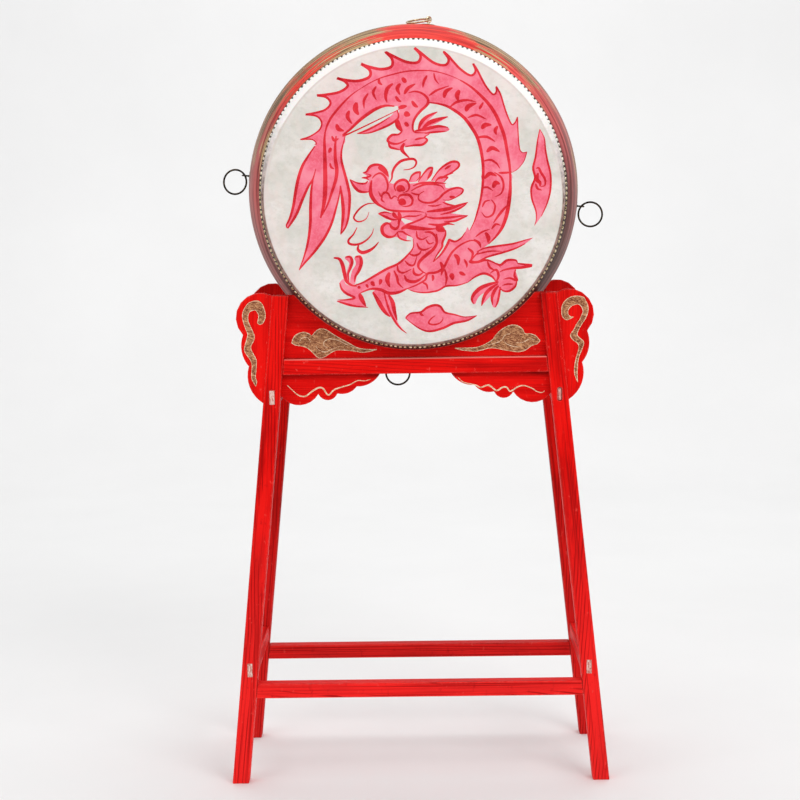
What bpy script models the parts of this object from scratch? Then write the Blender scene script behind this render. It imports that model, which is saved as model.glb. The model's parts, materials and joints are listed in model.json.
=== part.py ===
"""War drum standing on edge in the cradle of a red wooden stand.

Blender 4.5 script, metres, +Z up. The stand is symmetric about X = 0 and Y = 0 and rests on Z = 0.
The player faces the front head, which looks along -Y. Left and right are the player's.
"""

import math

import bmesh
import bpy
from mathutils import Matrix, Vector

# Clearance that glued, driven and resting pieces keep to each other
GAP = 0.0003

# Drum: the barrel of the shell, and the hides with their skirts
BELLY_RADIUS = 0.2815
END_RADIUS = 0.2426
SHELL_LENGTH = 0.346
SHELL_WALL = 0.012
SHELL_RIM_CHAMFER = 0.003
HIDE_THICKNESS = 0.0022
HIDE_SKIRT_LENGTH = 0.017
HIDE_SHOULDER = 0.006
SHOULDER_FULLNESS = 0.7

# Legs. The stand is less deep than the drum, so that both heads stand out in front of it
POST_HEIGHT = 0.8365
FOOT_HALF_SPREAD = 0.323
TOP_HALF_SPREAD = 0.2365
LEG_SIZE = 0.028
HEAD_OVERHANG = 0.033
STAND_DEPTH = SHELL_LENGTH - 2 * HEAD_OVERHANG

# The drum's middle stands this far above the tops of the legs
DRUM_RISE = 0.168
DRUM_CENTRE_Z = POST_HEIGHT + DRUM_RISE
DRUM_LEAN = math.radians(2.0)
DRUM_TURN = math.radians(6.0)

# Top rails, which carry boards that reach up to the tops of the legs, and the upper side rails
CRADLE_BOARD_HEIGHT = 0.1065
UPPER_SIDE_RAIL_DROP = 0.1575
TOP_RAIL_TOP = POST_HEIGHT - CRADLE_BOARD_HEIGHT
TOP_RAIL_HEIGHT = 0.026
TOP_RAIL_THICKNESS = 0.026
TOP_RAIL_SETBACK = 0.001
UPPER_SIDE_RAIL_TOP = POST_HEIGHT - UPPER_SIDE_RAIL_DROP

# Stretchers, up from the floor, and the section of every thinner stick
STRETCHER_TOP = 0.1745
STRETCHER_SETBACK = 0.002
SIDE_STRETCHER_TOP = 0.212
STICK_HEIGHT = 0.025
STICK_THICKNESS = 0.024

# Tenons: thickness, shoulder above and below, and how far each kind runs
TENON_THICKNESS = 0.008
TENON_SHOULDER = 0.001
BLIND_TENON_LENGTH = 0.018
SUNK_TENON_DEPTH = 0.003
SLOT_ROUNDING = 0.0035
SLOT_SEGMENTS = 3

# Boards of the cradle
CRADLE_BOARD_THICKNESS = 0.012
CRADLE_BOARD_SETBACK = 0.011
APRON_THICKNESS = 0.010
APRON_SETBACK = 0.012
WING_THICKNESS = 0.014
WING_SETBACK = 0.0025
HOUSING_DEPTH = 0.005

# Wing board: its notches, out from and below the leg's top corner, its foot and its lobes
WING_UPPER_NOTCH = (0.0495, 0.0648)
WING_LOWER_NOTCH = (0.0411, 0.1174)
WING_FOOT_DROP = 0.1795
WING_LOBE_BULGES = (0.0347, 0.0073, 0.0113)

# Apron board: its inner end, its notches, out from the middle and below the rail, its foot and lobes
APRON_INNER_X = 0.059
APRON_NOTCHES = ((0.0986, 0.0220), (0.1312, 0.0332), (0.1630, 0.0338))
APRON_FOOT_DROP = 0.037
APRON_LOBE_BULGES = (0.0065, 0.0054, 0.0110, 0.0170)

# Rosette, staple and ring pull. A ring bows on both sides of the eye, which takes up the allowance
ROSETTE_RADIUS = 0.012
ROSETTE_THICKNESS = 0.0018
ROSETTE_EDGE = 0.0007
STAPLE_WIRE_RADIUS = 0.0013
EYE_INNER_RADIUS = 0.0036
EYE_REACH = 0.0085
LONG_EYE_REACH = 0.0135
SHANK_RADIUS = 0.0018
CLINCH_LENGTH = 0.024
RING_RADIUS = 0.0208
RING_WIRE_RADIUS = 0.0017
RING_BOW_ALLOWANCE = 0.00015

# How each ring lies: the twist of its staple, its sag in its own plane and its turn in the eye
SIDE_RING_SAG = math.radians(35.0)
LEFT_RING_SWING = math.radians(28.0)
RIGHT_RING_SWING = math.radians(18.0)
TOP_STAPLE_TWIST = math.radians(-55.0)
TOP_RING_LAY = math.radians(-105.5)

# Fineness of the round shapes
SHELL_STEPS = 80
PROFILE_STEPS = 8
SKIRT_STEPS = 2
LOBE_STEPS = 8
WIRE_STEPS = 8
RING_STEPS = 24
EYE_STEPS = 12
ROSETTE_STEPS = 3
SHOULDER_STEPS = 3

# Eased edges of the wood
EDGE_EASE = 0.0012
BOARD_EASE = 0.0010
SHARP_ANGLE = math.radians(50.0)
SMOOTH_ANGLE = math.radians(35.0)

# How far a cutter reaches past the wood
CUT_MARGIN = 0.010

RED_PAINT = (0.70, 0.012, 0.010)
RED_GLOSS = 0.42
SHELL_RED = (0.55, 0.020, 0.015)
HIDE_WHITE = (0.80, 0.76, 0.68)
OLD_BRASS = (0.36, 0.25, 0.11)


def clear_scene():
    """Remove every object that the file holds."""
    for item in list(bpy.data.objects):
        bpy.data.objects.remove(item, do_unlink=True)


def new_collection(name):
    """Return a collection of the scene with this name."""
    collection = bpy.data.collections.new(name)
    bpy.context.scene.collection.children.link(collection)
    return collection


def new_material(name, colour, roughness, metallic=0.0):
    """Return a Principled material of one colour."""
    material = bpy.data.materials.new(name)
    material.use_nodes = True
    shader = material.node_tree.nodes["Principled BSDF"]
    shader.inputs["Base Color"].default_value = (*colour, 1.0)
    shader.inputs["Roughness"].default_value = roughness
    shader.inputs["Metallic"].default_value = metallic
    return material


clear_scene()
PARTS = new_collection("war_drum")
CUTTERS = new_collection("cutters")


def add_object(name, mesh, material=None):
    """Put a mesh in the parts, or in the cutters where it has no material."""
    thing = bpy.data.objects.new(name, mesh)
    if material is None:
        CUTTERS.objects.link(thing)
        thing.hide_render = True
        thing.display_type = "WIRE"
    else:
        PARTS.objects.link(thing)
        mesh.materials.clear()
        mesh.materials.append(material)
    return thing


def add_frame(name, parent, matrix):
    """Return an empty that places what hangs on it."""
    frame = bpy.data.objects.new(name, None)
    frame.empty_display_size = 0.02
    PARTS.objects.link(frame)
    frame.parent = parent
    frame.matrix_local = matrix
    return frame


def mesh_of(operation, name, **values):
    """Return a new mesh made by one of bmesh's primitives."""
    shape = bmesh.new()
    operation(shape, **values)
    mesh = bpy.data.meshes.new(name)
    shape.to_mesh(mesh)
    shape.free()
    return mesh


def box(name, low, high, material=None):
    """A box between two corners."""
    low, high = Vector(low), Vector(high)
    size = high - low
    place = Matrix.Translation((low + high) / 2) @ Matrix.Diagonal((*size, 1.0))
    mesh = mesh_of(bmesh.ops.create_cube, name, size=1.0, matrix=place)
    return add_object(name, mesh, material)


def rod(name, radius, start, end, material=None, sides=WIRE_STEPS):
    """A round rod between two points."""
    start, end = Vector(start), Vector(end)
    along = end - start
    turn = along.to_track_quat("Z", "Y").to_matrix().to_4x4()
    place = Matrix.Translation((start + end) / 2) @ turn
    mesh = mesh_of(bmesh.ops.create_cone, name, cap_ends=True, segments=sides, radius1=radius,
                   radius2=radius, depth=along.length, matrix=place)
    return add_object(name, mesh, material)


def torus_mesh(name, radius, wire_radius, place, steps):
    """The mesh of a ring of round wire: a small circle turned about the ring's axis."""
    bpy.ops.mesh.primitive_torus_add(major_segments=steps, minor_segments=WIRE_STEPS,
                                     major_radius=radius, minor_radius=wire_radius)
    made = bpy.context.object
    mesh = made.data
    mesh.name = name
    bpy.data.objects.remove(made, do_unlink=True)
    mesh.transform(place)
    return mesh


def prism(name, outline, y_front, thickness, material=None):
    """A board of this outline in X and Z: a filled 2D curve with thickness, made a mesh."""
    curve = bpy.data.curves.new(name + "_outline", "CURVE")
    curve.dimensions = "2D"
    curve.fill_mode = "BOTH"
    curve.extrude = thickness / 2
    spline = curve.splines.new("POLY")
    spline.points.add(len(outline) - 1)
    for point, (x, z) in zip(spline.points, outline):
        point.co = (x, z, 0.0, 1.0)
    spline.use_cyclic_u = True
    drawn = bpy.data.objects.new(name + "_outline", curve)
    bpy.context.scene.collection.objects.link(drawn)
    upright = Matrix.Rotation(math.radians(90.0), 4, "X")
    drawn.matrix_world = Matrix.Translation((0.0, y_front + thickness / 2, 0.0)) @ upright
    bpy.context.view_layer.update()
    evaluated = drawn.evaluated_get(bpy.context.evaluated_depsgraph_get())
    mesh = bpy.data.meshes.new_from_object(evaluated)
    shape = bmesh.new()
    shape.from_mesh(mesh)
    bmesh.ops.remove_doubles(shape, verts=shape.verts, dist=0.00001)
    bmesh.ops.dissolve_limit(shape, angle_limit=math.radians(0.5), verts=shape.verts,
                             edges=shape.edges)
    shape.to_mesh(mesh)
    shape.free()
    board = add_object(name, mesh, material)
    board.matrix_world = drawn.matrix_world
    bpy.data.objects.remove(drawn, do_unlink=True)
    return board


def turned(name, profile, steps, closed, material=None):
    """A turned piece: a profile of (radius, height) points with a Screw modifier about Z."""
    mesh = bpy.data.meshes.new(name)
    count = len(profile)
    edges = [(index, index + 1) for index in range(count - 1)]
    if closed:
        edges.append((count - 1, 0))
    mesh.from_pydata([(radius, 0.0, height) for radius, height in profile], edges, [])
    piece = add_object(name, mesh, material)
    screw = piece.modifiers.new("turn", "SCREW")
    screw.steps = steps
    screw.render_steps = steps
    screw.use_merge_vertices = True
    screw.merge_threshold = 0.00001
    screw.use_smooth_shade = True
    return piece


def boolean(piece, other, operation):
    """Cut a piece with another, or join the other to it."""
    step = piece.modifiers.new(operation.lower() + "_" + other.name, "BOOLEAN")
    step.operation = operation
    step.object = other
    step.solver = "EXACT"


def cut(piece, cutter):
    """Take the cutter's shape out of the piece."""
    boolean(piece, cutter, "DIFFERENCE")


def join(piece, other):
    """Make one body of the piece and the other shape."""
    boolean(piece, other, "UNION")


def ease(piece, width, segments=1):
    """Take the sharp edges off a wooden piece."""
    rounding = piece.modifiers.new("eased_edges", "BEVEL")
    rounding.width = width
    rounding.segments = segments
    rounding.limit_method = "ANGLE"
    rounding.angle_limit = SHARP_ANGLE


def smooth(piece):
    """Shade a round piece smooth, but for its sharp edges."""
    piece.data.shade_smooth()
    piece.data.set_sharp_from_angle(angle=SMOOTH_ANGLE)


def bulged(start, end, bulge, steps=LOBE_STEPS):
    """Points of the arc from start to end that stands out by bulge on the left of the way."""
    start, end = Vector(start), Vector(end)
    chord = end - start
    half = chord.length / 2
    radius = (half * half + bulge * bulge) / (2 * bulge)
    outwards = Vector((-chord.y, chord.x)).normalized()
    centre = (start + end) / 2 + outwards * (bulge - radius)
    reach = math.atan2(half, radius - bulge)
    forwards = chord.normalized()
    points = []
    for index in range(steps + 1):
        angle = -reach + 2 * reach * index / steps
        point = centre + forwards * radius * math.sin(angle) + outwards * radius * math.cos(angle)
        points.append((point.x, point.y))
    return points


def grown(outline, distance):
    """The same outline, moved outwards on every side by a distance."""
    count = len(outline)
    area = 0.0
    for index in range(count):
        x, z = outline[index]
        next_x, next_z = outline[(index + 1) % count]
        area += x * next_z - next_x * z
    turn = math.copysign(1.0, area)
    points = []
    for index in range(count):
        here = Vector(outline[index])
        before = (here - Vector(outline[index - 1])).normalized()
        after = (Vector(outline[(index + 1) % count]) - here).normalized()
        first = Vector((before.y, -before.x)) * turn
        second = Vector((after.y, -after.x)) * turn
        moved = here + (first + second) * distance / (1.0 + first.dot(second))
        points.append((moved.x, moved.y))
    return points


def mirrored(outline):
    """The same outline on the other side of X = 0."""
    return [(-x, z) for x, z in reversed(outline)]


def on_side(outline, side):
    """An outline drawn for the right, on the left where side is -1."""
    return outline if side > 0 else mirrored(outline)


def front_of(face, setback, thickness):
    """The Y of a board's front face: setback is measured from the outer face of the legs."""
    outer = STAND_DEPTH / 2 - setback
    return -outer if face < 0 else outer - thickness


def leg_outer(z):
    """X of the outer face of a right leg at a height."""
    return FOOT_HALF_SPREAD - (FOOT_HALF_SPREAD - TOP_HALF_SPREAD) * z / POST_HEIGHT


def leg_run():
    """Level width of a leg, whose section is square to its own length."""
    lean = math.atan((FOOT_HALF_SPREAD - TOP_HALF_SPREAD) / POST_HEIGHT)
    return LEG_SIZE / math.cos(lean)


def leg_inner(z):
    """X of the inner face of a right leg at a height."""
    return leg_outer(z) - leg_run()


def leg_middle(z):
    """X of the middle of a right leg at a height."""
    return leg_outer(z) - leg_run() / 2


SIDES = {"left": -1, "right": 1}
FACES = {"front": -1, "back": 1}


def bar_outline(low, high, end_x):
    """A long bar between the right and the left, whose slanted ends follow end_x(z)."""
    return [(-end_x(low), low), (end_x(low), low), (end_x(high), high), (-end_x(high), high)]


def cross_bar(name, face, top, height, thickness, setback, tenon_end, material):
    """A rail or stretcher along X: a stick between the legs and a thinner tenon bar through it."""
    low = top - height
    shoulder_to_leg = bar_outline(low, top, lambda z: leg_inner(z) - GAP)
    stick = prism(name, shoulder_to_leg, front_of(face, setback, thickness), thickness, material)
    ease(stick, EDGE_EASE)
    tenons = bar_outline(low + TENON_SHOULDER, top - TENON_SHOULDER, tenon_end)
    tenon_setback = setback + (thickness - TENON_THICKNESS) / 2
    tenon_front = front_of(face, tenon_setback, TENON_THICKNESS)
    join(stick, prism(name + "_tenons", tenons, tenon_front, TENON_THICKNESS))
    mortises = prism(name + "_mortises", grown(tenons, GAP), tenon_front - GAP,
                     TENON_THICKNESS + 2 * GAP)
    return stick, mortises


def side_bar(name, side, top, sunk_end, material):
    """A rail or stretcher along Y between a front and a back leg, with tenons through both."""
    low = top - STICK_HEIGHT
    middle_x = side * leg_middle(top - STICK_HEIGHT / 2)
    inner_y = STAND_DEPTH / 2 - LEG_SIZE - GAP
    stick = box(name, (middle_x - STICK_THICKNESS / 2, -inner_y, low),
                (middle_x + STICK_THICKNESS / 2, inner_y, top), material)
    ease(stick, EDGE_EASE)
    half = TENON_THICKNESS / 2
    tenon_low, tenon_top = low + TENON_SHOULDER, top - TENON_SHOULDER
    tenons = box(name + "_tenons", (middle_x - half, -(STAND_DEPTH / 2 - sunk_end), tenon_low),
                 (middle_x + half, STAND_DEPTH / 2 - sunk_end, tenon_top))
    reach = STAND_DEPTH / 2 + CUT_MARGIN
    mortises = box(name + "_mortises", (middle_x - half - GAP, -reach, tenon_low - GAP),
                   (middle_x + half + GAP, reach, tenon_top + GAP))
    if sunk_end > 0:
        ease(tenons, SLOT_ROUNDING, SLOT_SEGMENTS)
        ease(mortises, SLOT_ROUNDING + GAP, SLOT_SEGMENTS)
    join(stick, tenons)
    return stick, mortises


def cradle_board_outline():
    """A board that stands on the top rail between two legs and is housed in both."""
    low = TOP_RAIL_TOP + GAP
    return bar_outline(low, POST_HEIGHT, lambda z: leg_inner(z) + HOUSING_DEPTH)


def cradle_tongue_outline():
    """The tongue under a cradle board, which sits in the groove of the top rail."""
    low = TOP_RAIL_TOP - HOUSING_DEPTH
    half = leg_inner(TOP_RAIL_TOP) - 2 * GAP
    return bar_outline(low, TOP_RAIL_TOP + HOUSING_DEPTH, lambda z: half)


def wing_outline():
    """A board outside the right leg: housed in the leg, three lobes on its outer side."""
    shoulder = (TOP_HALF_SPREAD, POST_HEIGHT)
    notches = [(shoulder[0] + out, shoulder[1] - down) for out, down in
               (WING_UPPER_NOTCH, WING_LOWER_NOTCH)]
    foot_z = POST_HEIGHT - WING_FOOT_DROP
    foot = (leg_outer(foot_z), foot_z)
    corners = (shoulder, *notches, foot)
    outline = [(shoulder[0] - HOUSING_DEPTH, POST_HEIGHT)]
    for start, end, bulge in zip(corners, corners[1:], WING_LOBE_BULGES):
        outline += bulged(start, end, bulge)[:-1]
    return outline + [foot, (foot[0] - HOUSING_DEPTH, foot[1])]


def apron_outline():
    """A board under the right half of a top rail: housed in the leg, lobes on its lower side."""
    rail_z = TOP_RAIL_TOP - TOP_RAIL_HEIGHT
    top = rail_z - GAP
    notches = [(x, rail_z - down) for x, down in APRON_NOTCHES]
    foot_z = rail_z - APRON_FOOT_DROP
    foot = (leg_inner(foot_z), foot_z)
    corners = ((APRON_INNER_X, top), *notches, foot)
    outline = []
    for first, second, bulge in zip(corners, corners[1:], APRON_LOBE_BULGES):
        outline += bulged(second, first, bulge)[::-1][:-1]
    outline += [foot, (foot[0] + HOUSING_DEPTH, foot[1])]
    return outline + [(leg_inner(top) + HOUSING_DEPTH, top)]


def apron_tongue_outline():
    """The tongue over an apron board, which sits in a groove under the top rail."""
    rail_z = TOP_RAIL_TOP - TOP_RAIL_HEIGHT
    start = APRON_NOTCHES[0][0]
    end = leg_inner(rail_z + HOUSING_DEPTH) - 2 * GAP
    high = rail_z + HOUSING_DEPTH
    low = rail_z - HOUSING_DEPTH
    return [(start, low), (end, low), (end, high), (start, high)]


def housed_board(name, outline, front, thickness, material, tongue=None):
    """A board with an eased outline, and the cutters of its housing and of its tongue's groove."""
    board = prism(name, outline, front, thickness, material)
    ease(board, BOARD_EASE)
    housing = prism(name + "_housing", grown(outline, GAP), front - GAP, thickness + 2 * GAP)
    if tongue is None:
        return board, housing, None
    tongue_front = front + (thickness - TENON_THICKNESS) / 2
    join(board, prism(name + "_tongue", tongue, tongue_front, TENON_THICKNESS))
    groove = prism(name + "_groove", grown(tongue, GAP), tongue_front - GAP,
                   TENON_THICKNESS + 2 * GAP)
    return board, housing, groove


def shell_radius(along):
    """Outer radius of the barrel at a distance along its axis from the middle."""
    share = along / (SHELL_LENGTH / 2)
    return BELLY_RADIUS - (BELLY_RADIUS - END_RADIUS) * share * share


def facet_drop(along):
    """How much lower the barrel's faceted side lies at a distance from its middle."""
    facet = SHELL_LENGTH / PROFILE_STEPS
    return (BELLY_RADIUS - shell_radius(facet)) * along / facet


def spread(first, last, steps):
    """Evenly spaced values from first to last."""
    return [first + (last - first) * index / steps for index in range(steps + 1)]


def shell_profile():
    """Profile of the open barrel: down its outer side, then up its inner side."""
    half = SHELL_LENGTH / 2
    chamfer = SHELL_RIM_CHAMFER
    heights = spread(half - chamfer, chamfer - half, PROFILE_STEPS)
    outer = [(shell_radius(z), z) for z in heights]
    outer = [(END_RADIUS - chamfer, half)] + outer + [(END_RADIUS - chamfer, -half)]
    inner = [(shell_radius(z) - SHELL_WALL, z) for z in spread(-half, half, PROFILE_STEPS)]
    return outer + inner


def cradle_profile():
    """Profile of the solid that the cradle boards clear: the barrel, larger by the gap."""
    half = SHELL_LENGTH / 2
    heights = spread(half - SHELL_RIM_CHAMFER, SHELL_RIM_CHAMFER - half, PROFILE_STEPS)
    outer = [(shell_radius(z) + GAP, z) for z in heights]
    return [(0.0, heights[0])] + outer + [(0.0, heights[-1])]


def hide_profile():
    """Profile of a stretched hide: flat face, round shoulder, skirt down the barrel, and back."""
    half = SHELL_LENGTH / 2
    chamfer = SHELL_RIM_CHAMFER
    face = half + GAP + HIDE_THICKNESS
    skirt_end = half - HIDE_SKIRT_LENGTH
    rim_z = half - chamfer
    skirt = spread(rim_z, skirt_end, SKIRT_STEPS)
    stand_off = GAP + HIDE_THICKNESS
    shoulder_top = Vector((END_RADIUS + stand_off - HIDE_SHOULDER, face))
    shoulder_foot = Vector((shell_radius(rim_z) + stand_off, rim_z))
    corner = Vector((END_RADIUS + stand_off * SHOULDER_FULLNESS, face))
    outer = [(0.0, face)]
    for share in spread(0.0, 1.0, SHOULDER_STEPS)[:-1]:
        first = shoulder_top.lerp(corner, share)
        point = first.lerp(corner.lerp(shoulder_foot, share), share)
        outer.append((point.x, point.y))
    outer += [(shell_radius(z) + stand_off, z) for z in skirt]
    inner = [(shell_radius(z) + GAP, z) for z in reversed(skirt)]
    inner += [(END_RADIUS - chamfer + GAP, half + GAP), (0.0, half + GAP)]
    return outer + inner


def seat_matrix(angle):
    """Place of a staple on the belly: local Z points outwards, local Y along the drum's girth."""
    outwards = Vector((math.cos(angle), 0.0, math.sin(angle)))
    girth = Vector((-math.sin(angle), 0.0, math.cos(angle)))
    axial = girth.cross(outwards)
    turn = Matrix((axial, girth, outwards)).transposed().to_4x4()
    return Matrix.Translation(outwards * BELLY_RADIUS) @ turn


def rosette(name, frame, material):
    """A low dome of sheet brass with a hole for the staple's shank."""
    top = GAP + ROSETTE_THICKNESS
    hole = SHANK_RADIUS + GAP
    dome = ROSETTE_THICKNESS - ROSETTE_EDGE
    radii = spread(hole, ROSETTE_RADIUS, ROSETTE_STEPS)
    profile = [(radius, top - dome * (radius / ROSETTE_RADIUS) ** 2) for radius in radii]
    profile += [(ROSETTE_RADIUS, GAP), (hole, GAP)]
    plate = turned(name, profile, RING_STEPS, True, material)
    plate.parent = frame
    return plate


def staple(name, frame, reach, twist, material):
    """An eye on a shank that passes through the shell and is clinched inside it."""
    eye_radius = EYE_INNER_RADIUS + STAPLE_WIRE_RADIUS
    clinch_z = -(SHELL_WALL + facet_drop(CLINCH_LENGTH / 2) + 2 * GAP + SHANK_RADIUS)
    upright = Matrix.Rotation(math.radians(90.0), 4, "X")
    place = Matrix.Translation((0.0, 0.0, reach)) @ Matrix.Rotation(twist, 4, "Z") @ upright
    eye = add_object(name, torus_mesh(name, eye_radius, STAPLE_WIRE_RADIUS, place, EYE_STEPS),
                     material)
    eye.parent = frame
    shank = rod(name + "_shank", SHANK_RADIUS, (0.0, 0.0, clinch_z),
                (0.0, 0.0, reach - eye_radius))
    clinch = rod(name + "_clinch", SHANK_RADIUS, (-CLINCH_LENGTH / 2, 0.0, clinch_z),
                 (CLINCH_LENGTH / 2, 0.0, clinch_z))
    for piece in (shank, clinch):
        piece.parent = frame
        join(eye, piece)
    hole = rod(name + "_hole", SHANK_RADIUS + GAP, (0.0, 0.0, -SHELL_WALL - CUT_MARGIN),
               (0.0, 0.0, CUT_MARGIN))
    hole.parent = frame
    return eye, hole


def ring_pull(name, frame, reach, twist, sag, swing, material):
    """A ring of round wire that hangs in the eye. Its origin is on the axis that it swings about."""
    eye_radius = EYE_INNER_RADIUS + STAPLE_WIRE_RADIUS
    wires = STAPLE_WIRE_RADIUS + RING_WIRE_RADIUS + GAP + RING_BOW_ALLOWANCE
    seat = eye_radius - wires / math.cos(sag)
    pivot = Matrix.Translation((0.0, 0.0, reach + seat)) @ Matrix.Rotation(twist, 4, "Z")
    hinge = add_frame(name + "_hinge", frame, pivot)
    centre = Vector((0.0, math.sin(sag), math.cos(sag))) * RING_RADIUS
    place = Matrix.Translation(centre) @ Matrix.Rotation(math.radians(90.0), 4, "Y")
    ring = add_object(name, torus_mesh(name, RING_RADIUS, RING_WIRE_RADIUS, place, RING_STEPS),
                      material)
    ring.parent = hinge
    ring.rotation_euler = (0.0, swing, 0.0)
    return ring


def build_stand(paint):
    """The legs, rails, stretchers and boards, with the mortises and grooves that hold them."""
    outline = [(leg_outer(0.0), 0.0), (leg_outer(POST_HEIGHT), POST_HEIGHT),
               (leg_inner(POST_HEIGHT), POST_HEIGHT), (leg_inner(0.0), 0.0)]
    legs = {}
    for face_name, face in FACES.items():
        for side_name, side in SIDES.items():
            leg = prism(f"leg_{face_name}_{side_name}", on_side(outline, side),
                        front_of(face, 0.0, LEG_SIZE), LEG_SIZE, paint)
            ease(leg, EDGE_EASE)
            legs[face, side] = leg

    boards = []
    for face_name, face in FACES.items():
        rail, rail_mortises = cross_bar(
            f"rail_{face_name}", face, TOP_RAIL_TOP, TOP_RAIL_HEIGHT, TOP_RAIL_THICKNESS,
            TOP_RAIL_SETBACK, lambda z: leg_inner(z) + BLIND_TENON_LENGTH, paint)
        mortises = cross_bar(f"stretcher_{face_name}", face, STRETCHER_TOP, STICK_HEIGHT,
                             STICK_THICKNESS, STRETCHER_SETBACK, leg_outer, paint)[1]
        board, board_housing, board_groove = housed_board(
            f"cradle_board_{face_name}", cradle_board_outline(),
            front_of(face, CRADLE_BOARD_SETBACK, CRADLE_BOARD_THICKNESS), CRADLE_BOARD_THICKNESS,
            paint, cradle_tongue_outline())
        boards.append(board)
        cut(rail, board_groove)
        for side_name, side in SIDES.items():
            apron_housing, apron_groove = housed_board(
                f"apron_{face_name}_{side_name}", on_side(apron_outline(), side),
                front_of(face, APRON_SETBACK, APRON_THICKNESS), APRON_THICKNESS,
                paint, on_side(apron_tongue_outline(), side))[1:]
            wing_housing = housed_board(
                f"wing_{face_name}_{side_name}", on_side(wing_outline(), side),
                front_of(face, WING_SETBACK, WING_THICKNESS), WING_THICKNESS, paint)[1]
            cut(rail, apron_groove)
            for cutter in (rail_mortises, mortises, board_housing, apron_housing, wing_housing):
                cut(legs[face, side], cutter)

    for side_name, side in SIDES.items():
        sunk = SUNK_TENON_DEPTH if side > 0 else 0.0
        upper = side_bar(f"side_rail_upper_{side_name}", side, UPPER_SIDE_RAIL_TOP, sunk, paint)
        lower = side_bar(f"side_stretcher_{side_name}", side, SIDE_STRETCHER_TOP, 0.0, paint)
        for face in FACES.values():
            for mortises in (upper[1], lower[1]):
                cut(legs[face, side], mortises)
    return boards


def build_drum(boards):
    """The barrel, its two hides and its four ring pulls, leaning a little in the cradle."""
    lean = Matrix.Rotation(DRUM_LEAN, 4, "X")
    drum = add_frame("drum_axis", None, Matrix.Translation((0.0, 0.0, DRUM_CENTRE_Z)) @ lean)
    facing_front = Matrix.Rotation(math.radians(90.0), 4, "X")
    facing_back = Matrix.Rotation(math.radians(-90.0), 4, "X")

    shell = turned("drum_shell", shell_profile(), SHELL_STEPS, True,
                   new_material("painted_shell", SHELL_RED, RED_GLOSS))
    shell.parent = drum
    shell.matrix_local = facing_front
    hollow = turned("cradle_hollow", cradle_profile(), SHELL_STEPS, False)
    hollow.parent = drum
    hollow.matrix_local = facing_front
    for board in boards:
        cut(board, hollow)

    hide = new_material("hide", HIDE_WHITE, 0.55)
    for name, turn in (("drumhead_front", facing_front), ("drumhead_back", facing_back)):
        head = turned(name, hide_profile(), SHELL_STEPS, False, hide)
        head.parent = drum
        head.matrix_local = turn

    brass = new_material("old_brass", OLD_BRASS, 0.4, 1.0)
    quarter = math.radians(90.0)
    placings = {
        "right": (0 * quarter, EYE_REACH, 0.0, -SIDE_RING_SAG, -RIGHT_RING_SWING),
        "top": (1 * quarter, EYE_REACH, TOP_STAPLE_TWIST, 0.0, TOP_RING_LAY),
        "left": (2 * quarter, EYE_REACH, 0.0, SIDE_RING_SAG, -LEFT_RING_SWING),
        "bottom": (3 * quarter, LONG_EYE_REACH, 0.0, DRUM_TURN, -DRUM_LEAN),
    }
    for name, (angle, reach, twist, sag, swing) in placings.items():
        frame = add_frame("seat_" + name, drum, seat_matrix(angle - DRUM_TURN))
        rosette("rosette_" + name, frame, brass)
        hole = staple("staple_" + name, frame, reach, twist, brass)[1]
        cut(shell, hole)
        ring_pull("ring_" + name, frame, reach, twist, sag, swing, brass)


def shade_round_pieces():
    """Shade the turned and bent pieces smooth."""
    for piece in PARTS.objects:
        if piece.type == "MESH" and piece.name.startswith(("drum", "rosette", "staple", "ring")):
            smooth(piece)


build_drum(build_stand(new_material("red_paint", RED_PAINT, RED_GLOSS)))
shade_round_pieces()
bpy.context.view_layer.update()
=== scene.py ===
import json
import math

import bmesh
import bpy
import numpy as np
from mathutils import Matrix, Vector
from mathutils.geometry import delaunay_2d_cdt


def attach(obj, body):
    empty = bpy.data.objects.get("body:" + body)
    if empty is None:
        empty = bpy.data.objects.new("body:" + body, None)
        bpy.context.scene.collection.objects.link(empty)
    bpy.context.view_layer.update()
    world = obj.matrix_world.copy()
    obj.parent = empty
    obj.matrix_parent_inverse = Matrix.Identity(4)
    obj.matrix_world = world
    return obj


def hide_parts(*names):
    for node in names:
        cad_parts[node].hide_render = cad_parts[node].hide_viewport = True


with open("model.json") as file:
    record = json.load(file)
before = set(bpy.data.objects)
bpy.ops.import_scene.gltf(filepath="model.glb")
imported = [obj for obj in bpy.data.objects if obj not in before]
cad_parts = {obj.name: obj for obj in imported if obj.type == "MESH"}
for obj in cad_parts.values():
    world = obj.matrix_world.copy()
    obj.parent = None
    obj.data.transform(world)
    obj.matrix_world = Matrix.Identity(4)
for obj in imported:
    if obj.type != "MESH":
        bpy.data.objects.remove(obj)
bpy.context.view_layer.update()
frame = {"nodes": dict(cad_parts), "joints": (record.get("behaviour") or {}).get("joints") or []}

# Studio. A pale floor sweeps up into a backdrop behind the drum, under large soft lamps.
# The camera stands a little over three metres in front, at the height of the drum's middle.


def grid_faces(rows, columns, closed_rows=False, closed_columns=False):
    """Quads between neighbouring points of a grid: corner (r, c), (r, c+1), (r+1, c+1), (r+1, c)."""
    row, column = np.meshgrid(np.arange(rows if closed_rows else rows - 1),
                              np.arange(columns if closed_columns else columns - 1), indexing="ij")
    below, beside = (row + 1) % rows, (column + 1) % columns
    corners = [row * columns + column, row * columns + beside,
               below * columns + beside, below * columns + column]
    return np.stack(corners, axis=-1).reshape(-1, 4)


def add_piece(name, points, faces, material):
    """Make an object from rows of points and rows of face corners, shaded smooth."""
    mesh = bpy.data.meshes.new(name)
    mesh.from_pydata(np.asarray(points, float).tolist(), [], [face.tolist() for face in faces])
    mesh.materials.append(material)
    mesh.shade_smooth()
    piece = bpy.data.objects.new(name, mesh)
    bpy.context.scene.collection.objects.link(piece)
    return piece


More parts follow.
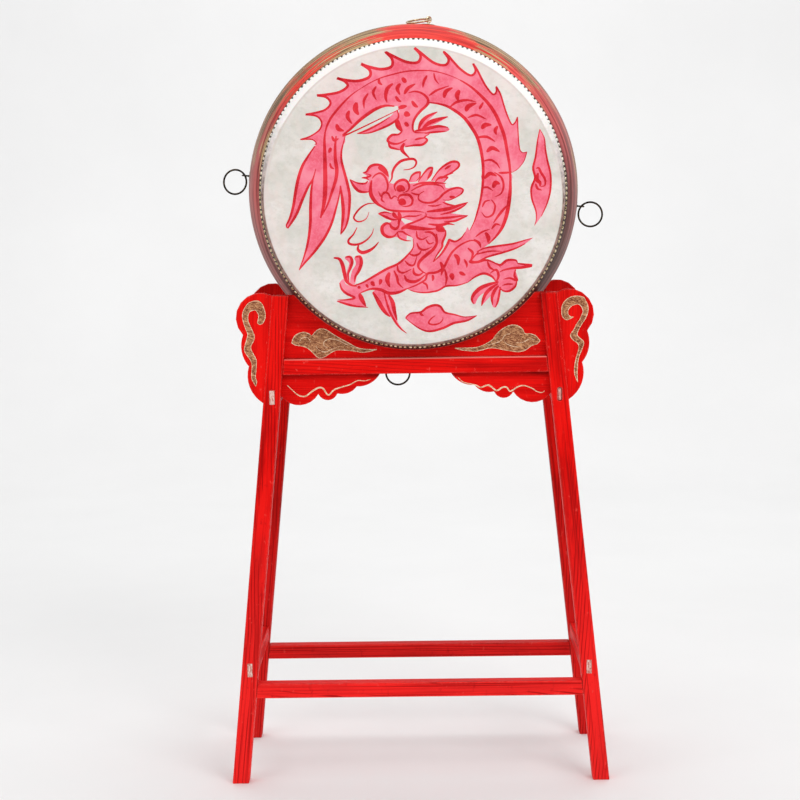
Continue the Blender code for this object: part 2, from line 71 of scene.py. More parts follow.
def add_node(tree, kind, links=None, **settings):
    """Add a shader node. Each entry of links sets an input: a socket is linked, a value is set."""
    made = tree.nodes.new("ShaderNode" + kind)
    for setting, value in settings.items():
        setattr(made, setting, value)
    for key, value in (links or {}).items():
        if isinstance(value, bpy.types.NodeSocket):
            tree.links.new(value, made.inputs[key])
        else:
            made.inputs[key].default_value = value
    return made


def start_material(name, **sockets):
    """A Principled material, whose constant values are set on the shader's own sockets."""
    material = bpy.data.materials.new(name)
    material.use_nodes = True
    shader = material.node_tree.nodes["Principled BSDF"]
    for key, value in sockets.items():
        shader.inputs[key.replace("_", " ")].default_value = value
    return material, material.node_tree, shader


def ramp(tree, factor, *stops):
    """A colour or grey value that runs through stops of (position, colour) as the factor grows."""
    made = add_node(tree, "ValToRGB", {"Fac": factor})
    while len(made.color_ramp.elements) < len(stops):
        made.color_ramp.elements.new(0.5)
    for element, (place, colour) in zip(made.color_ramp.elements, stops):
        element.position = place
        element.color = (*colour, 1.0) if isinstance(colour, tuple) else (colour,) * 3 + (1.0,)
    return made.outputs["Color"]


def streaks(tree, size, turn=(0.0, 0.0, 0.0), shift=(0.0, 0.0, 0.0), detail=4.0, roughness=0.6,
            source=None):
    """Noise whose spots measure size along the axes of a turned frame, in metres."""
    if source is None:
        source = add_node(tree, "TexCoord").outputs["Object"]
    placed = add_node(tree, "Mapping", {"Vector": source, "Location": shift, "Rotation": turn,
                                        "Scale": size}, vector_type="TEXTURE")
    noise = add_node(tree, "TexNoise", {"Vector": placed.outputs[0], "Scale": 1.0,
                                        "Detail": detail, "Roughness": roughness})
    return noise.outputs["Fac"]


def build_studio():
    """Floor points: flat from the front to the back, then a quarter circle of radius bend, where
    depth grows by its sine and height by one less its cosine, and a wall up to the rise."""
    half_width, front, back, bend, rise = 7.0, -6.0, 2.6, 1.6, 5.0
    angle = np.linspace(0.0, math.pi / 2, 24)
    depth = np.concatenate([[front], back + bend * np.sin(angle), [back + bend]])
    height = np.concatenate([[0.0], bend * (1 - np.cos(angle)), [rise]])
    across = np.array([-half_width, half_width])
    points = np.stack([np.tile(across, depth.size), np.repeat(depth, 2), np.repeat(height, 2)], axis=1)
    material, tree, shader = start_material("studio_floor", Roughness=0.75)
    cloudy = streaks(tree, (0.7, 0.7, 0.7))
    tree.links.new(ramp(tree, cloudy, (0.3, 0.84), (0.7, 0.87)), shader.inputs["Base Color"])
    faces = grid_faces(depth.size, 2)[:, ::-1]
    floor = add_piece("studio_floor", points, faces, material)


def add_lamp(name, place, target, size, power):
    """A square area lamp that faces a target."""
    light = bpy.data.lights.new(name, "AREA")
    light.shape = "SQUARE"
    light.size = size
    light.energy = power
    lamp = bpy.data.objects.new(name, light)
    lamp.location = place
    lamp.rotation_euler = (Vector(target) - Vector(place)).to_track_quat("-Z", "Y").to_euler()
    bpy.context.scene.collection.objects.link(lamp)


def place_camera():
    """The camera's place, its turn to the side, down and about its view, and its long lens."""
    camera_place = (0.0053, -3.100, 1.0328)
    yaw, pitch, roll = -0.0107, 0.1253, -0.0144
    lens_mm, sensor_mm = 80.51, 36.0
    view = Vector((math.sin(yaw) * math.cos(pitch), math.cos(yaw) * math.cos(pitch),
                   -math.sin(pitch)))
    level = Vector((math.cos(yaw), -math.sin(yaw), 0.0))
    upright = level.cross(view)
    right = level * math.cos(roll) + upright * math.sin(roll)
    up = upright * math.cos(roll) - level * math.sin(roll)
    lens = bpy.data.cameras.new("camera")
    lens.lens = lens_mm
    lens.sensor_width = sensor_mm
    lens.dof.use_dof = False
    camera = bpy.data.objects.new("camera", lens)
    camera.matrix_world = Matrix.Translation(camera_place) @ Matrix(
        (right, up, -view)).transposed().to_4x4()
    bpy.context.scene.collection.objects.link(camera)
    bpy.context.scene.camera = camera


def light_studio():
    """An even white world, with one large lamp high on the right and a weaker one on the left."""
    world = bpy.data.worlds.new("studio")
    world.use_nodes = True
    background = world.node_tree.nodes["Background"]
    background.inputs["Color"].default_value = (1.0, 1.0, 1.0, 1.0)
    background.inputs["Strength"].default_value = 0.72
    bpy.context.scene.world = world
    middle = (0.0, 0.0, 0.75)
    add_lamp("key_lamp", (1.7, -2.6, 3.0), middle, 1.8, 42.0)
    add_lamp("fill_lamp", (-2.6, -2.4, 1.8), middle, 2.2, 16.0)
    add_lamp("backdrop_lamp", (0.0, 1.4, 4.6), (0.0, 4.0, 0.8), 3.0, 62.0)


bpy.context.scene.view_settings.view_transform = "Standard"
build_studio()
light_studio()
place_camera()


# Red paint on the stand. Thin glossy oil paint was brushed along the grain of pale wood, so the
# grain and the brush show through as streaks. The paint is thin and wears along the edges, which
# are also painted paler there as a painted highlight.


def blend_colour(tree, factor, first, second):
    """Mix two colours, which may be sockets or values, by a factor."""
    made = add_node(tree, "Mix", data_type="RGBA")
    for place, value in ((0, factor), (6, first), (7, second)):
        if isinstance(value, bpy.types.NodeSocket):
            tree.links.new(value, made.inputs[place])
        else:
            made.inputs[place].default_value = (*value, 1.0) if isinstance(value, tuple) else value
    return made.outputs[2]


def calc(tree, operation, *values):
    """The result of one sum on numbers, each of which may be a socket or a value."""
    return add_node(tree, "Math", dict(enumerate(values)), operation=operation).outputs[0]


def spread(tree, value, start, end, low=0.0, high=1.0):
    """A number that runs evenly from low to high as a value runs from start to end."""
    return add_node(tree, "MapRange", {0: value, 1: start, 2: end, 3: low, 4: high}).outputs[0]


def axis_of(tree, vector, axis):
    """One coordinate of a vector."""
    return add_node(tree, "SeparateXYZ", {0: vector}).outputs[axis]


def finish_surface(tree, shader, height, depth, colour, **others):
    """Link the colour and other inputs, and raise the surface by up to a depth where height is 1."""
    for key, value in {"Base Color": colour, **others}.items():
        tree.links.new(value, shader.inputs[key])
    raised = add_node(tree, "Bump", {"Height": height, "Distance": depth, "Strength": 1.0})
    tree.links.new(raised.outputs[0], shader.inputs["Normal"])


def red_wood(name, grain_turn, grain_axis, shade_tone=1.0, grain_share=1.0, pale_from=None, band=None):
    """Brushed red paint with the grain along one axis of a turned frame. The shade_tone darkens all
    of it as painted shade, and a small grain_share makes the grain faint. Bare wood shows past the
    distance pale_from. The colour of a band comes in between its two heights."""
    material, tree, shader = start_material(name, Roughness=0.5, Specular_IOR_Level=0.04)

    def along(width, length):
        """A spot's size: its length along the grain and its width across it."""
        return tuple(length if axis == grain_axis else width for axis in range(3))

    def shade_toned(*colour):
        """A colour made darker by the shade_tone, as painted shade."""
        return tuple(shade_tone * part for part in colour)

    broad = streaks(tree, along(0.022, 0.16), grain_turn, detail=3.0)
    lines = streaks(tree, along(0.0032, 0.42), grain_turn, shift=(0.3, 0.1, 0.7), detail=3.0)
    brush = streaks(tree, along(0.0016, 0.10), grain_turn, shift=(0.9, 0.5, 0.2), detail=5.0,
                    roughness=0.7)
    where = streaks(tree, along(0.030, 0.25), grain_turn, shift=(0.5, 0.2, 0.9), detail=2.0)
    spots = streaks(tree, (0.010, 0.010, 0.016), shift=(0.2, 0.8, 0.4), detail=4.0)
    colour = ramp(tree, broad, (0.38, shade_toned(0.68 - 0.20 * grain_share, 0.0025, 0.002)),
                  (0.50, shade_toned(0.72, 0.0035, 0.0025)), (0.62, shade_toned(0.84, 0.006, 0.004)))
    brushed = ramp(tree, brush, (0.50, 0.0), (0.64, 0.6))
    colour = blend_colour(tree, brushed, colour, shade_toned(0.90, 0.013, 0.009))
    source = add_node(tree, "TexCoord").outputs["Object"]
    over_floor = axis_of(tree, source, 2)
    # Lighter towards the floor: painted light on the lower stand, with scuffing.
    scuffed_and_lit_low = spread(tree, over_floor, 0.55, 0.15, high=0.6)
    colour = blend_colour(tree, scuffed_and_lit_low, colour, shade_toned(1.0, 0.028, 0.026))
    tilt = tuple(0.0 if axis == grain_axis else 0.05 for axis in range(3))
    sawn = add_node(tree, "Mapping", {"Vector": source, "Location": (0.031, 0.017, 0.043),
                                      "Rotation": tilt, "Scale": along(0.016, 0.16)},
                    vector_type="TEXTURE").outputs[0]
    rings = add_node(tree, "TexWave", {"Vector": sawn, "Scale": 1.0, "Distortion": 5.0, "Detail": 2.0,
                                       "Detail Scale": 0.8}, wave_type="RINGS",
                     rings_direction="XYZ"[grain_axis]).outputs["Fac"]
    veins = calc(tree, "MULTIPLY", ramp(tree, rings, (0.05, 0.70 * grain_share), (0.28, 0.0)),
                 ramp(tree, where, (0.46, 0.0), (0.54, 1.0)))
    colour = blend_colour(tree, veins, colour, shade_toned(0.26, 0.0015, 0.002))
    lined = calc(tree, "MULTIPLY", ramp(tree, lines, (0.38, 0.72 * grain_share), (0.47, 0.0)),
                 ramp(tree, where, (0.48, 1.0), (0.56, 0.2)))
    colour = blend_colour(tree, lined, colour, shade_toned(0.30, 0.002, 0.002))
    stained = ramp(tree, spots, (0.60, 0.0), (0.70, 0.35 * grain_share))
    colour = blend_colour(tree, stained, colour, shade_toned(0.34, 0.002, 0.004))
    pale_share = ramp(tree, spots, (0.30, 0.55), (0.36, 0.0))
    colour = blend_colour(tree, pale_share, colour, shade_toned(0.88, 0.075, 0.060))
    # Paler edges: paint wear along them, and a painted highlight.
    softened = add_node(tree, "Bevel", {"Radius": 0.0022}, samples=6)
    flat = add_node(tree, "NewGeometry").outputs["Normal"]
    turned = add_node(tree, "VectorMath", {0: softened.outputs[0], 1: flat}, operation="DOT_PRODUCT")
    edge = ramp(tree, turned.outputs["Value"], (0.80, 1.0), (0.985, 0.0))
    flaked = ramp(tree, streaks(tree, (0.007, 0.007, 0.007), detail=5.0), (0.40, 0.15), (0.60, 1.0))
    worn_and_highlit = calc(tree, "MULTIPLY", edge, flaked)
    colour = blend_colour(tree, worn_and_highlit, colour, shade_toned(0.90, 0.16, 0.13))
    if band is not None:
        start, end, band_colour = band
        broken = calc(tree, "MULTIPLY", spread(tree, over_floor, start, end),
                      ramp(tree, where, (0.44, 0.35), (0.54, 1.0)))
        colour = blend_colour(tree, broken, colour, band_colour)
    if pale_from is not None:
        reach = calc(tree, "ABSOLUTE", axis_of(tree, source, grain_axis))
        bare = calc(tree, "GREATER_THAN", reach, pale_from)
        fibre = streaks(tree, (0.0016, 0.0016, 0.0050), detail=4.0)
        end_grain = ramp(tree, fibre, (0.38, (0.50, 0.14, 0.11)), (0.5, (0.72, 0.42, 0.36)),
                         (0.60, (0.84, 0.64, 0.58)))
        colour = blend_colour(tree, bare, colour, end_grain)
    finish_surface(tree, shader, calc(tree, "ADD", lines, brush), 0.00035, colour,
                   Roughness=ramp(tree, brush, (0.3, 0.40), (0.7, 0.56)))
    return material


def paint_node(node_name, material):
    """Give a CAD node one material."""
    materials = frame["nodes"][node_name].data.materials
    materials.clear()
    materials.append(material)


def paint_stand():
    """Give each stick and board of the stand red paint with its own direction of grain. The rail's
    upper edge is painted pale, a painted highlight with some wear; a painted shadow darkens the top
    of the aprons under the rail, and the back is painted darker as shade."""
    across, deep, upright = 0, 1, 2
    leg_shift, leg_height = 0.0865, 0.8365
    leg_lean = math.atan2(leg_shift, leg_height)
    # A painted highlight with some wear along the rail's upper edge, and a painted shadow on the aprons under
    # the rail.
    lit_worn_band, rail_shadow_band = (0.728, 0.729, (0.92, 0.22, 0.19)), (0.695, 0.702, (0.07, 0.001, 0.001))
    stretcher_paint_end, side_paint_end = 0.2935, 0.1125
    untilted, board_tilt, wing_tilt = (0.0, 0.0, 0.0), (0.0, 0.02, 0.0), (0.0, 0.03, 0.0)
    members = {}
    # The back is painted darker by a lower shade_tone: painted shade.
    for face_name, shade_tone in (("front", 1.0), ("back", 0.74)):
        members[f"rail_{face_name}"] = red_wood(
            f"red_rail_{face_name}", untilted, across, shade_tone, 0.6, band=lit_worn_band)
        members[f"stretcher_{face_name}"] = red_wood(
            f"red_stretcher_{face_name}", untilted, across, shade_tone, pale_from=stretcher_paint_end)
        members[f"cradle_board_{face_name}"] = red_wood(
            f"red_board_{face_name}", board_tilt, across, shade_tone, 0.30)
        # The aprons get a painted shadow across their top, under the rail.
        apron = red_wood(f"red_apron_{face_name}", board_tilt, across, shade_tone, 0.30, band=rail_shadow_band)
        wing = red_wood(f"red_wing_{face_name}", wing_tilt, upright, shade_tone, 0.35)
        for side_name, side in (("left", -1), ("right", 1)):
            members[f"leg_{face_name}_{side_name}"] = red_wood(
                f"red_leg_{face_name}_{side_name}", (0.0, -side * leg_lean, 0.0), upright, shade_tone)
            members[f"apron_{face_name}_{side_name}"] = apron
            members[f"wing_{face_name}_{side_name}"] = wing
    side_stick = red_wood("red_side_stick", untilted, deep, 0.9, pale_from=side_paint_end)
    for side_name in ("left", "right"):
        members[f"side_rail_upper_{side_name}"] = side_stick
        members[f"side_stretcher_{side_name}"] = side_stick
    for node_name, paint in members.items():
        paint_node(node_name, paint)


paint_stand()


# Gold ornament of the stand. Clouds on the cradle boards, a scroll on each wing and a wavy line
# along each apron are brushed on in bronze paint, then edged with a thin line of bright gold.


def through(points, count, closed=False):
    """Points along a smooth curve through given ones: a cubic between each pair whose slope
    at a point is half the way from its neighbour before to its neighbour after. A point given
    twice makes a corner."""
    points = np.asarray(points, float)
    total = len(points)
    onward = np.roll(points, -1, axis=0) - points
    spans = np.flatnonzero(np.hypot(*onward.T) > 0)
    if not closed:
        spans = spans[spans < total - 1]
    place = np.linspace(0.0, len(spans), count, endpoint=not closed)
    step = np.minimum(place.astype(int), len(spans) - 1)
    share = (place - step)[:, None]
    start = spans[step]

    def pick(index):
        """The points of some numbers, past the ends too."""
        return points[index % total] if closed else points[np.clip(index, 0, total - 1)]

    before, first, second, after = (pick(start + shift) for shift in (-1, 0, 1, 2))
    return 0.5 * (2 * first + (second - before) * share
                  + (2 * before - 5 * first + 4 * second - after) * share ** 2
                  + (3 * first - before - 3 * second + after) * share ** 3)


def stroke_grid(path, widths, columns):
    """A brush stroke in its plane: across each point of the path, columns of points over the width.
    Its middle stands one unit of paint over its edges: height = 1 - (place across) squared."""
    ahead = np.gradient(path, axis=0)
    ahead /= np.linalg.norm(ahead, axis=1)[:, None] + 1e-12
    sideways = np.stack([-ahead[:, 1], ahead[:, 0]], axis=1)
    place = np.linspace(-1.0, 1.0, columns)
    flat = path[:, None, :] + sideways[:, None, :] * (place[None, :, None] * widths[:, None, None] / 2)
    height = np.broadcast_to(1 - place ** 2, flat.shape[:2])
    return np.concatenate([flat, height[..., None]], axis=2)


def taper(count, start, end, belly=0.5):
    """Share of a stroke's full width along it. It grows by a sine from its start value to the full
    width where belly says, and falls by a sine to its end value."""
    share = np.linspace(0.0, 1.0, count)
    before = start + (1 - start) * np.sin(np.clip(share / belly, 0, 1) * math.pi / 2)
    after = end + (1 - end) * np.sin(np.clip((1 - share) / (1 - belly), 0, 1) * math.pi / 2)
    return np.where(share < belly, before, after)


def between(first, second):
    """A painted area between two edges with as many points each: straight rows from edge to edge.
    Its height over the board is 4 times the share of the way times the share that is left."""
    columns = 7
    share = np.linspace(0.0, 1.0, columns)[None, :, None]
    flat = first[:, None, :] * (1 - share) + second[:, None, :] * share
    height = np.broadcast_to((4 * share * (1 - share))[..., 0], flat.shape[:2])
    return np.concatenate([flat, height[..., None]], axis=2)


def lay_paint(name, grids, place, material, body):
    """Join grids of (across, up, height) into one piece; place turns them into rows of points.
    A grid whose normals add up to point into the board has its faces turned round."""
    points, faces, count = [], [], 0
    for grid in grids:
        laid = place(grid.reshape(-1, 3)).reshape(grid.shape)
        quads = grid_faces(*grid.shape[:2])
        corners = laid.reshape(-1, 3)[quads]
        facing = np.cross(corners[:, 2] - corners[:, 0], corners[:, 3] - corners[:, 1])[:, 1].sum()
        if facing * laid[..., 1].sum() < 0:
            quads = quads[:, ::-1]
        points.append(laid.reshape(-1, 3))
        faces.append(quads + count)
        count += grid.shape[0] * grid.shape[1]
    piece = add_piece(name, np.concatenate(points), np.concatenate(faces), material)
    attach(piece, body)


def gold_paint(name, dark, middle, bright):
    """Bronze paint dragged by a coarse brush: fine curved streaks, dull and bright by turns."""
    material, tree, shader = start_material(name, Roughness=0.5, Metallic=0.25, Specular_IOR_Level=0.2)
    fine = streaks(tree, (0.0060, 0.004, 0.0013), (0.0, 0.35, 0.0), detail=4.0, roughness=0.7)
    cross = streaks(tree, (0.0013, 0.004, 0.0050), (0.0, 0.6, 0.0), shift=(0.7, 0.1, 0.3), detail=3.0)
    patch = streaks(tree, (0.012, 0.010, 0.006), (0.0, -0.3, 0.0), shift=(0.4, 0.2, 0.9))
    colour = ramp(tree, fine, (0.41, dark), (0.50, middle), (0.58, bright))
    colour = blend_colour(tree, ramp(tree, cross, (0.52, 0.0), (0.62, 0.65)), colour, bright)
    colour = blend_colour(tree, ramp(tree, patch, (0.48, 0.0), (0.62, 0.4)), colour, dark)
    finish_surface(tree, shader, fine, 0.00025, colour,
                   Roughness=ramp(tree, fine, (0.3, 0.62), (0.7, 0.34)))
    return material


# Outlines of the ornament, in millimetres across from the stand's middle and up from the floor.
# Those of the scrolls count outwards from the middle on both sides.
left_cloud_top = [(-206, 757), (-200, 769), (-187, 774.5), (-177, 772), (-172, 768.5), (-166, 775),
                  (-157, 780), (-146, 777), (-135, 769.5), (-124, 763), (-110, 755), (-95, 747),
                  (-80, 744.5), (-64, 744)]
left_cloud_foot = [(-206, 757), (-199, 753), (-187, 751), (-177, 746), (-168, 737), (-161, 731),
                   (-151, 733), (-140, 740), (-129, 744), (-110, 743), (-97, 741), (-88, 739.5),
                   (-76, 741), (-64, 744)]
right_cloud_top = [(208, 755), (201, 763.5), (191, 767), (183, 767.5), (179, 775), (169, 781.5),
                   (157, 781), (145, 775), (135, 766), (129, 758), (114, 749), (100, 745),
                   (84, 744.5), (66, 744.5)]
right_cloud_foot = [(208, 755), (203, 750), (194, 747), (184, 740), (173, 737), (160, 738.5),
                    (146, 741), (135, 743.5), (123, 744), (112, 741), (100, 739), (88, 740),
                    (77, 741.5), (66, 744.5)]
left_curls = [[(-146, 748), (-152, 752), (-151, 759), (-141, 763), (-128, 760), (-114, 753), (-98, 746)],
              [(-165, 750), (-160, 744), (-150, 741), (-140, 745), (-126, 750)],
              [(-193, 758), (-188, 765), (-179, 765), (-174, 758)]]
right_curls = [[(199, 757), (190, 758), (180, 753), (168, 752)],
               [(160, 768), (150, 765), (144, 757), (134, 752), (118, 748)],
               [(176, 745), (164, 746), (152, 751), (148, 758)]]
left_scroll_outer = [(258, 789), (253, 791), (249, 798), (248, 806), (250, 815), (253, 823), (259, 828),
                     (267, 828), (275, 825), (281, 818), (285, 810), (286, 801), (284, 791), (281, 782),
                     (278, 773), (280, 764), (283, 754), (284, 746), (280, 738), (274, 729), (272, 720),
                     (273, 709), (273, 699), (270, 692), (267, 686)]
left_scroll_inner = [(258, 789), (261, 792), (260, 797), (259, 804), (261, 809), (264, 813), (268, 813),
                     (273, 811), (276, 807), (277, 802), (277, 796), (275, 790), (272, 783), (269, 776),
                     (267, 769), (269, 761), (273, 754), (273, 747), (269, 739), (265, 730), (265, 720),
                     (266, 709), (267, 701), (265, 693), (267, 686)]
right_scroll_outer = [(263, 795), (258, 792), (252, 790), (247, 793), (244, 799), (244, 811),
                      (248, 820), (255, 826), (264, 829), (272, 829), (280, 827), (284, 820),
                      (287, 813), (287, 803), (283, 792), (277, 783), (272, 774), (269, 765),
                      (274, 759), (280, 753), (278, 743), (273, 731), (270, 717), (269, 700),
                      (270, 686)]
right_scroll_inner = [(263, 795), (259, 795), (256, 797), (254, 800), (254, 805), (256, 809),
                      (260, 813), (265, 815), (269, 816), (273, 815), (276, 812), (278, 808),
                      (279, 803), (277, 798), (274, 791), (268, 782), (264, 774), (258, 764),
                      (263, 756), (270, 751), (272, 742), (268, 728), (265, 713), (265, 699),
                      (270, 686)]
left_wave = [(-215, 686), (-204, 675), (-195, 668), (-184.5, 667), (-174, 674.5), (-162.5, 681),
             (-154.5, 679), (-146.5, 668.5), (-136.5, 677), (-124, 681.5), (-110, 685.5),
             (-97, 692), (-85, 691.5), (-75, 694)]
right_wave = [(71.5, 695), (80.5, 687), (100, 682), (109, 678), (122, 681.5), (135, 672.5),
              (145, 677.5), (152, 677.5), (158.5, 671), (170.5, 678), (181, 680), (194, 675.5),
              (202.5, 670), (211, 668), (215.5, 671)]
clouds = {"left": (left_cloud_top, left_cloud_foot, left_curls),
          "right": (right_cloud_top, right_cloud_foot, right_curls)}
waves = {"left": left_wave, "right": right_wave}
scrolls = {"left": (left_scroll_outer, left_scroll_inner),
           "right": (right_scroll_outer, right_scroll_inner)}


def gild_stand():
    """Lay the ornament on the front and back boards of the stand, gold edged with a brighter line."""
    bronze = gold_paint("bronze_paint", (0.15, 0.038, 0.018), (0.33, 0.115, 0.048), (0.68, 0.35, 0.17))
    bright = gold_paint("gold_line", (0.50, 0.24, 0.12), (0.82, 0.55, 0.34), (0.95, 0.80, 0.60))
    board_front, wing_front, apron_front = 0.129, 0.1375, 0.128
    clearance, paint_height = 0.0001, 0.00015
    line_width, line_rise, wave_width = 1.1, 1.2, 2.6
    cloud_steps, curl_steps, scroll_steps, wave_steps, line_columns = 80, 30, 120, 110, 3

    def on_board(front, side, face):
        """Places rows on a board whose face stands at front, on one side and one face of the stand."""
        def place(rows):
            """Rows of (across, up, coats of paint), in millimetres, to points of the stand."""
            x = rows[:, 0] * side / 1000
            z = rows[:, 1] / 1000
            y = face * (front + clearance + paint_height * rows[:, 2])
            return np.stack([x, y, z], axis=1)
        return place

    def line_round(first_edge, second_edge):
        """A thin line along one edge of an area and back along the other, on top of its paint."""
        rim = np.concatenate([first_edge, second_edge[::-1][1:]])
        line = stroke_grid(rim, np.full(len(rim), line_width), line_columns)
        line[..., 2] += line_rise
        return line

    for face_name, face in (("front", -1), ("back", 1)):
        for side_name, side in (("left", -1), ("right", 1)):
            label = f"{face_name}_{side_name}"
            top, foot, curls = clouds[side_name]
            on_cradle = on_board(board_front, 1, face)
            top_edge, foot_edge = through(top, cloud_steps), through(foot, cloud_steps)
            lay_paint(f"cloud_{label}", [between(top_edge, foot_edge)], on_cradle, bronze,
                      "stand")
            lines = [line_round(top_edge, foot_edge)]
            for curl in curls:
                widths = line_width * taper(curl_steps, 0.5, 0.3)
                line = stroke_grid(through(curl, curl_steps), widths, line_columns)
                line[..., 2] += line_rise
                lines.append(line)
            lay_paint(f"cloud_line_{label}", lines, on_cradle, bright, "stand")

            on_wing = on_board(wing_front, side, face)
            outer_edge, inner_edge = (through(edge, scroll_steps) for edge in scrolls[side_name])
            lay_paint(f"scroll_{label}", [between(outer_edge, inner_edge)], on_wing, bronze,
                      "stand")
            lay_paint(f"scroll_line_{label}", [line_round(outer_edge, inner_edge)], on_wing, bright,
                      "stand")

            widths = wave_width * taper(wave_steps, 0.3, 0.3, 0.35)
            line = stroke_grid(through(waves[side_name], wave_steps), widths, line_columns)
            lay_paint(f"wave_{label}", [line], on_board(apron_front, 1, face), bright,
                      "stand")


gild_stand()


# Shell. Staves are glued into a barrel, turned smooth and painted red, with cloud strokes of
# golden brown dragged round it. Its two rims are hidden under the hides.

drum_lean = math.radians(2.0)
drum_middle = 1.0045


def lean_drum(rows):
    """Turn rows of points from the drum's own frame by its lean about X and lift them to its place."""
    cosine, sine = math.cos(drum_lean), math.sin(drum_lean)
    return np.stack([rows[:, 0], rows[:, 1] * cosine - rows[:, 2] * sine,
                     rows[:, 1] * sine + rows[:, 2] * cosine + drum_middle], axis=1)


def merge_and_face_out(mesh):
    """Weld the points that coincide and turn the faces outwards."""
    weld_distance = 0.00002
    work = bmesh.new()
    work.from_mesh(mesh)
    bmesh.ops.remove_doubles(work, verts=work.verts, dist=weld_distance)
    bmesh.ops.recalc_face_normals(work, faces=work.faces)
    work.to_mesh(mesh)
    work.free()


def lathe(name, profile, steps, material):
    """Turn a closed profile of (radius, depth) about the drum's axis: each point makes a circle of
    x = radius cos(angle), z = radius sin(angle)."""
    radius, depth = np.asarray(profile, float).T
    angle = np.linspace(0.0, 2 * math.pi, steps, endpoint=False)
    x = radius[:, None] * np.cos(angle)
    z = radius[:, None] * np.sin(angle)
    y = np.broadcast_to(depth[:, None], x.shape)
    points = np.stack([x, y, z], axis=-1).reshape(-1, 3)
    faces = grid_faces(len(radius), steps, closed_rows=True, closed_columns=True)
    piece = add_piece(name, lean_drum(points), faces, material)
    merge_and_face_out(piece.data)
    return piece


belly_radius, end_radius, shell_half = 0.2815, 0.2426, 0.173


def barrel(depth):
    """Radius of the barrel at a depth: the belly's, less a share that grows as the depth squared."""
    return belly_radius - (belly_radius - end_radius) * (depth / shell_half) ** 2


def in_drum_frame(tree):
    """A material's coordinates in the drum's own frame, free of its lean and its height."""
    source = add_node(tree, "TexCoord").outputs["Object"]
    return add_node(tree, "Mapping", {"Vector": source, "Location": (0.0, 0.0, drum_middle),
                                      "Rotation": (drum_lean, 0.0, 0.0)},
                    vector_type="TEXTURE").outputs[0]


